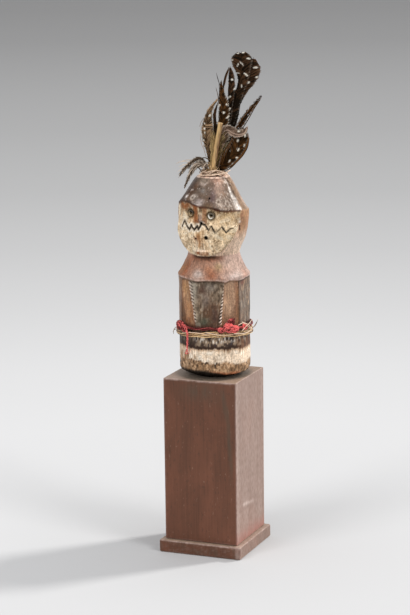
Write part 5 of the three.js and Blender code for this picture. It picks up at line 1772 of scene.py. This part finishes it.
class FIGURE_OT_feathers(bpy.types.Operator):
    """Builds the feathers of the tuft, barb by barb."""

    bl_idname = "figure.feathers"
    bl_label = "Feathers"

    def execute(self, context):
        trim = context.scene.trim
        vanes = {}
        for tone, (dark, pale, _) in TONES.items():
            vanes[tone] = feather_vane(f"feather_{tone}_vane", rgb(dark), rgb(pale), tuple(trim.spot))
        for seed, (name, feather) in enumerate(FEATHERS.items()):
            draw = np.random.default_rng(100 + seed)
            parts = [self.barbs(feather, trim.barb_radius, draw), self.quill(feather)]
            if feather["web"]:
                parts += self.web(feather, draw)
            parts += [self.strand(feather, *strand) for strand in feather.get("strands", ())]
            points, faces, shades, whites = zip(*parts)
            starts = np.cumsum([0] + [len(part) for part in points[:-1]])
            build(f"{name}_barbs", np.concatenate(points),
                  np.concatenate([part + start for part, start in zip(faces, starts)]),
                  vanes[feather["tone"]], replaces=[name],
                  values={"shade": np.concatenate(shades), "spot": np.concatenate(whites)})
        self.fluff(vanes["down"])
        return {"FINISHED"}

    def fluff(self, vane):
        """The down of the small feather behind the cane, which spills out at both sides.

        A barb starts beside the cane, and climbs and spreads away from it in a slow curl.
        """
        draw = np.random.default_rng(29)
        count, rows = 320, 12
        t = np.linspace(0, 1, rows)[None]
        side = np.where(np.arange(count) % 2, 1, -1)[:, None]
        low = np.where(side > 0, draw.uniform(12, 34, (count, 1)), draw.uniform(8, 32, (count, 1)))
        climb = draw.uniform(6, 15, (count, 1))
        spread = draw.uniform(1, 7, (count, 1)) * low / 30
        up = low + climb * t
        foot, head = CANE["foot"], CANE["head"]
        beside = np.interp(up, (foot[1], head[1]), (foot[0], head[0]))
        beside = beside + side * draw.uniform(0.5, 3, (count, 1))
        across = beside + side * spread * t ** 1.3 + draw.normal(0, 0.8, (count, 1)) * np.sin(4 * t)
        towards = draw.uniform(3, 6, (count, 1)) + 3.5 * t + draw.normal(0, 0.6, (count, 1)) * np.sin(3 * t)
        shade = draw.uniform(-0.3, 1.1, count) + np.where(side[:, 0] > 0, -0.25, 0.5)
        tubes("feather_down_fluff", tuft_point(np.stack([across, up, towards], -1)),
              np.linspace(0.3, 0.12, rows), 4, vane, slot="buff_feather", shade=shade)

    def barbs(self, feather, barb_radius, draw):
        """The barbs as flat tapered strips, each with a tone of its own."""
        count, sides = feather["barbs"], 4
        paths, spans, (forward, face), length = barb_paths(feather, draw, count)
        rows = paths.shape[2]
        downy = feather["loose"] >= 0.7
        t = np.linspace(0, 1, rows)
        radius = barb_radius * (0.62 if downy else 1) * np.interp(t, (0, 0.7, 0.92, 1), (1, 0.9, 0.6, 0.2))
        rings = rings_round(paths, radius, sides, 0.3, face + 0.5 * forward)
        shade = np.stack([clumps(draw, count, 3) for _ in (0, 1)])
        shade = 1.5 * (shade - 0.3) + draw.normal(0, 0.16, (2, count))
        edge = np.abs(spans[..., 1]) / (np.abs(spans[..., -1:, 1]) + 0.1)
        # Paler and whiter towards the vane's edge: partly bleached tips, partly painted rim light where the
        # light behind shines through
        shade = shade[..., None] + 0.35 * smooth(edge, 0.75, 1.1) + deep_shade(feather, spans)
        fringe = 0.12 if feather["tone"] == "black" else 0.5
        white = np.maximum(spot_share(feather, spans, length), fringe * smooth(edge, 0.72, 1))
        faces = skin_faces(2 * count, rows, sides)
        return rings.reshape(-1, 3), faces, np.repeat(shade.ravel(), sides), np.repeat(white.ravel(), sides)

    def quill(self, feather, rows=48, sides=6):
        """The quill: a round that thins to the tip."""
        line = feather_frame(feather["spine"], rows)[0]
        rings = rings_round(line[None], np.linspace(0.8, 0.22, rows)[None], sides)
        tone = np.full(rows * sides, 0.2)
        return rings.reshape(-1, 3), skin_faces(1, rows, sides), tone, 0 * tone

    def web(self, feather, draw, count=200, rows=18):
        """The barbs' hold on one another: a thin ribbed sheet on each side of the quill."""
        paths, spans, (_, face), length = barb_paths(feather, draw, count, 0.0, feather["web"], rows)
        thick = (0.1 + 0.08 * (np.arange(count) % 2))[None, :, None, None]
        sheet = np.concatenate([paths + face * thick, (paths - face * thick)[:, :, ::-1]], axis=2)
        parts = []
        for side in (0, 1):
            tone = 1.5 * (clumps(draw, count, 4)[:, None] - 0.35) + 0.2 * np.linspace(-1, 1, rows)
            tone = tone + deep_shade(feather, spans[side])
            white = spot_share(feather, spans[side], length)
            faces = skin_faces(1, count, 2 * rows)
            parts.append((
                sheet[side].reshape(-1, 3),
                faces if side else faces[:, ::-1],
                np.concatenate([tone, tone[:, ::-1]], axis=1).ravel(),
                np.concatenate([white, white[:, ::-1]], axis=1).ravel(),
            ))
        return parts

    def strand(self, feather, radius, shade, points, rows=24, sides=6):
        """A bundle of barbs that has come loose from the vane and bows on its own."""
        line, _, across, face = feather_frame(feather["spine"], 200)
        share, out = np.asarray(points, float).T
        knots = at_share(line, share) + at_share(across, share) * out[:, None] + at_share(face, share) * 1.1
        path = smooth_path(knots, rows)
        taper = np.interp(np.linspace(0, 1, rows), (0, 0.2, 0.8, 1), (0.4, 1, 1, 0.4))
        rings = rings_round(path[None], radius * taper[None], sides)
        tone = np.full(rows * sides, float(shade))
        return rings.reshape(-1, 3), skin_faces(1, rows, sides), tone, 0 * tone


class FIGURE_OT_stage(bpy.types.Operator):
    """Sets up the floor, the lights and the camera."""

    bl_idname = "figure.stage"
    bl_label = "Stage"

    def execute(self, context):
        stage = context.scene.stage
        self.floor(tuple(stage.floor))
        self.lights(context, stage)
        self.camera(context)
        context.scene.view_settings.view_transform = "Standard"
        return {"FINISHED"}

    def floor(self, colour):
        """A broad flat sheet of paper under the plinth."""
        mesh = bpy.data.meshes.new("floor")
        corners = [(FLOOR_REACH * x, FLOOR_REACH * y, 0) for x, y in ((-1, -1), (1, -1), (1, 1), (-1, 1))]
        mesh.from_pydata(corners, [], [(0, 1, 2, 3)])
        mesh.materials.append(studio_floor(colour))
        floor = bpy.data.objects.new("floor", mesh)
        bpy.context.scene.collection.objects.link(floor)

    def lights(self, context, stage):
        """A key from behind on the right, two fills in front, and even room light."""
        for name, (setting, azimuth, elevation, width, colour) in SUNS.items():
            light = bpy.data.lights.new(name, "SUN")
            light.energy = getattr(stage, setting)
            light.angle = math.radians(width)
            light.color = colour
            lamp = bpy.data.objects.new(name, light)
            lamp.rotation_euler = (math.radians(90 - elevation), 0, math.radians(azimuth))
            context.scene.collection.objects.link(lamp)
        world = bpy.data.worlds.new("room")
        world.use_nodes = True
        context.scene.world = world
        air = world.node_tree.nodes["Background"]
        air.inputs["Color"].default_value = ROOM_AIR
        air.inputs["Strength"].default_value = stage.air

    def camera(self, context):
        """The photograph's view: turned, tipped and rolled, then moved aside and up."""
        a, e, r = (math.radians(CAMERA[key]) for key in ("azimuth", "elevation", "roll"))
        back = np.array([math.sin(a) * math.cos(e), -math.cos(a) * math.cos(e), math.sin(e)])
        right = np.array([math.cos(a), math.sin(a), 0])
        up = np.cross(back, right)
        right, up = right * math.cos(r) + up * math.sin(r), up * math.cos(r) - right * math.sin(r)
        place = (back * CAMERA["distance"] + right * CAMERA["aside"] + up * CAMERA["above"]) * MM
        matrix = np.eye(4)
        matrix[:3] = np.stack([right, up, back, place], axis=1)
        data = bpy.data.cameras.new("camera")
        data.sensor_width = SENSOR
        data.lens = CAMERA["focal"] * SENSOR / CAMERA["long_side"]
        camera = bpy.data.objects.new("camera", data)
        context.scene.collection.objects.link(camera)
        camera.matrix_world = Matrix(matrix.tolist())
        context.scene.camera = camera


class FIGURE_PT_panel(bpy.types.Panel):
    """Lists the pieces of the oracle figure."""

    bl_idname = "FIGURE_PT_panel"
    bl_label = "Oracle figure"
    bl_space_type = "VIEW_3D"
    bl_region_type = "UI"
    bl_category = "Figure"

    def draw(self, context):
        for group in ("carving", "trim", "stage"):
            settings = getattr(context.scene, group)
            for key in settings.__annotations__:
                self.layout.prop(settings, key)
        for operator in OPERATORS:
            self.layout.operator(operator.bl_idname)


OPERATORS = (
    FIGURE_OT_stage,
    FIGURE_OT_plinth,
    FIGURE_OT_carving,
    FIGURE_OT_eyes,
    FIGURE_OT_straw,
    FIGURE_OT_yarn,
    FIGURE_OT_cane,
    FIGURE_OT_feathers,
)
SETTINGS = {"stage": StageSettings, "carving": CarvingSettings, "trim": TrimSettings}


def register():
    for item in (*SETTINGS.values(), *OPERATORS, FIGURE_PT_panel):
        bpy.utils.register_class(item)
    for key, group in SETTINGS.items():
        setattr(bpy.types.Scene, key, PointerProperty(type=group))


def unregister():
    for key in SETTINGS:
        delattr(bpy.types.Scene, key)
    for item in reversed((*SETTINGS.values(), *OPERATORS, FIGURE_PT_panel)):
        bpy.utils.unregister_class(item)


def main():
    register()
    bpy.ops.figure.stage()
    bpy.ops.figure.plinth()
    bpy.ops.figure.carving()
    bpy.ops.figure.eyes()
    bpy.ops.figure.straw()
    bpy.ops.figure.yarn()
    bpy.ops.figure.cane()
    bpy.ops.figure.feathers()


if __name__ == "__main__":
    main()
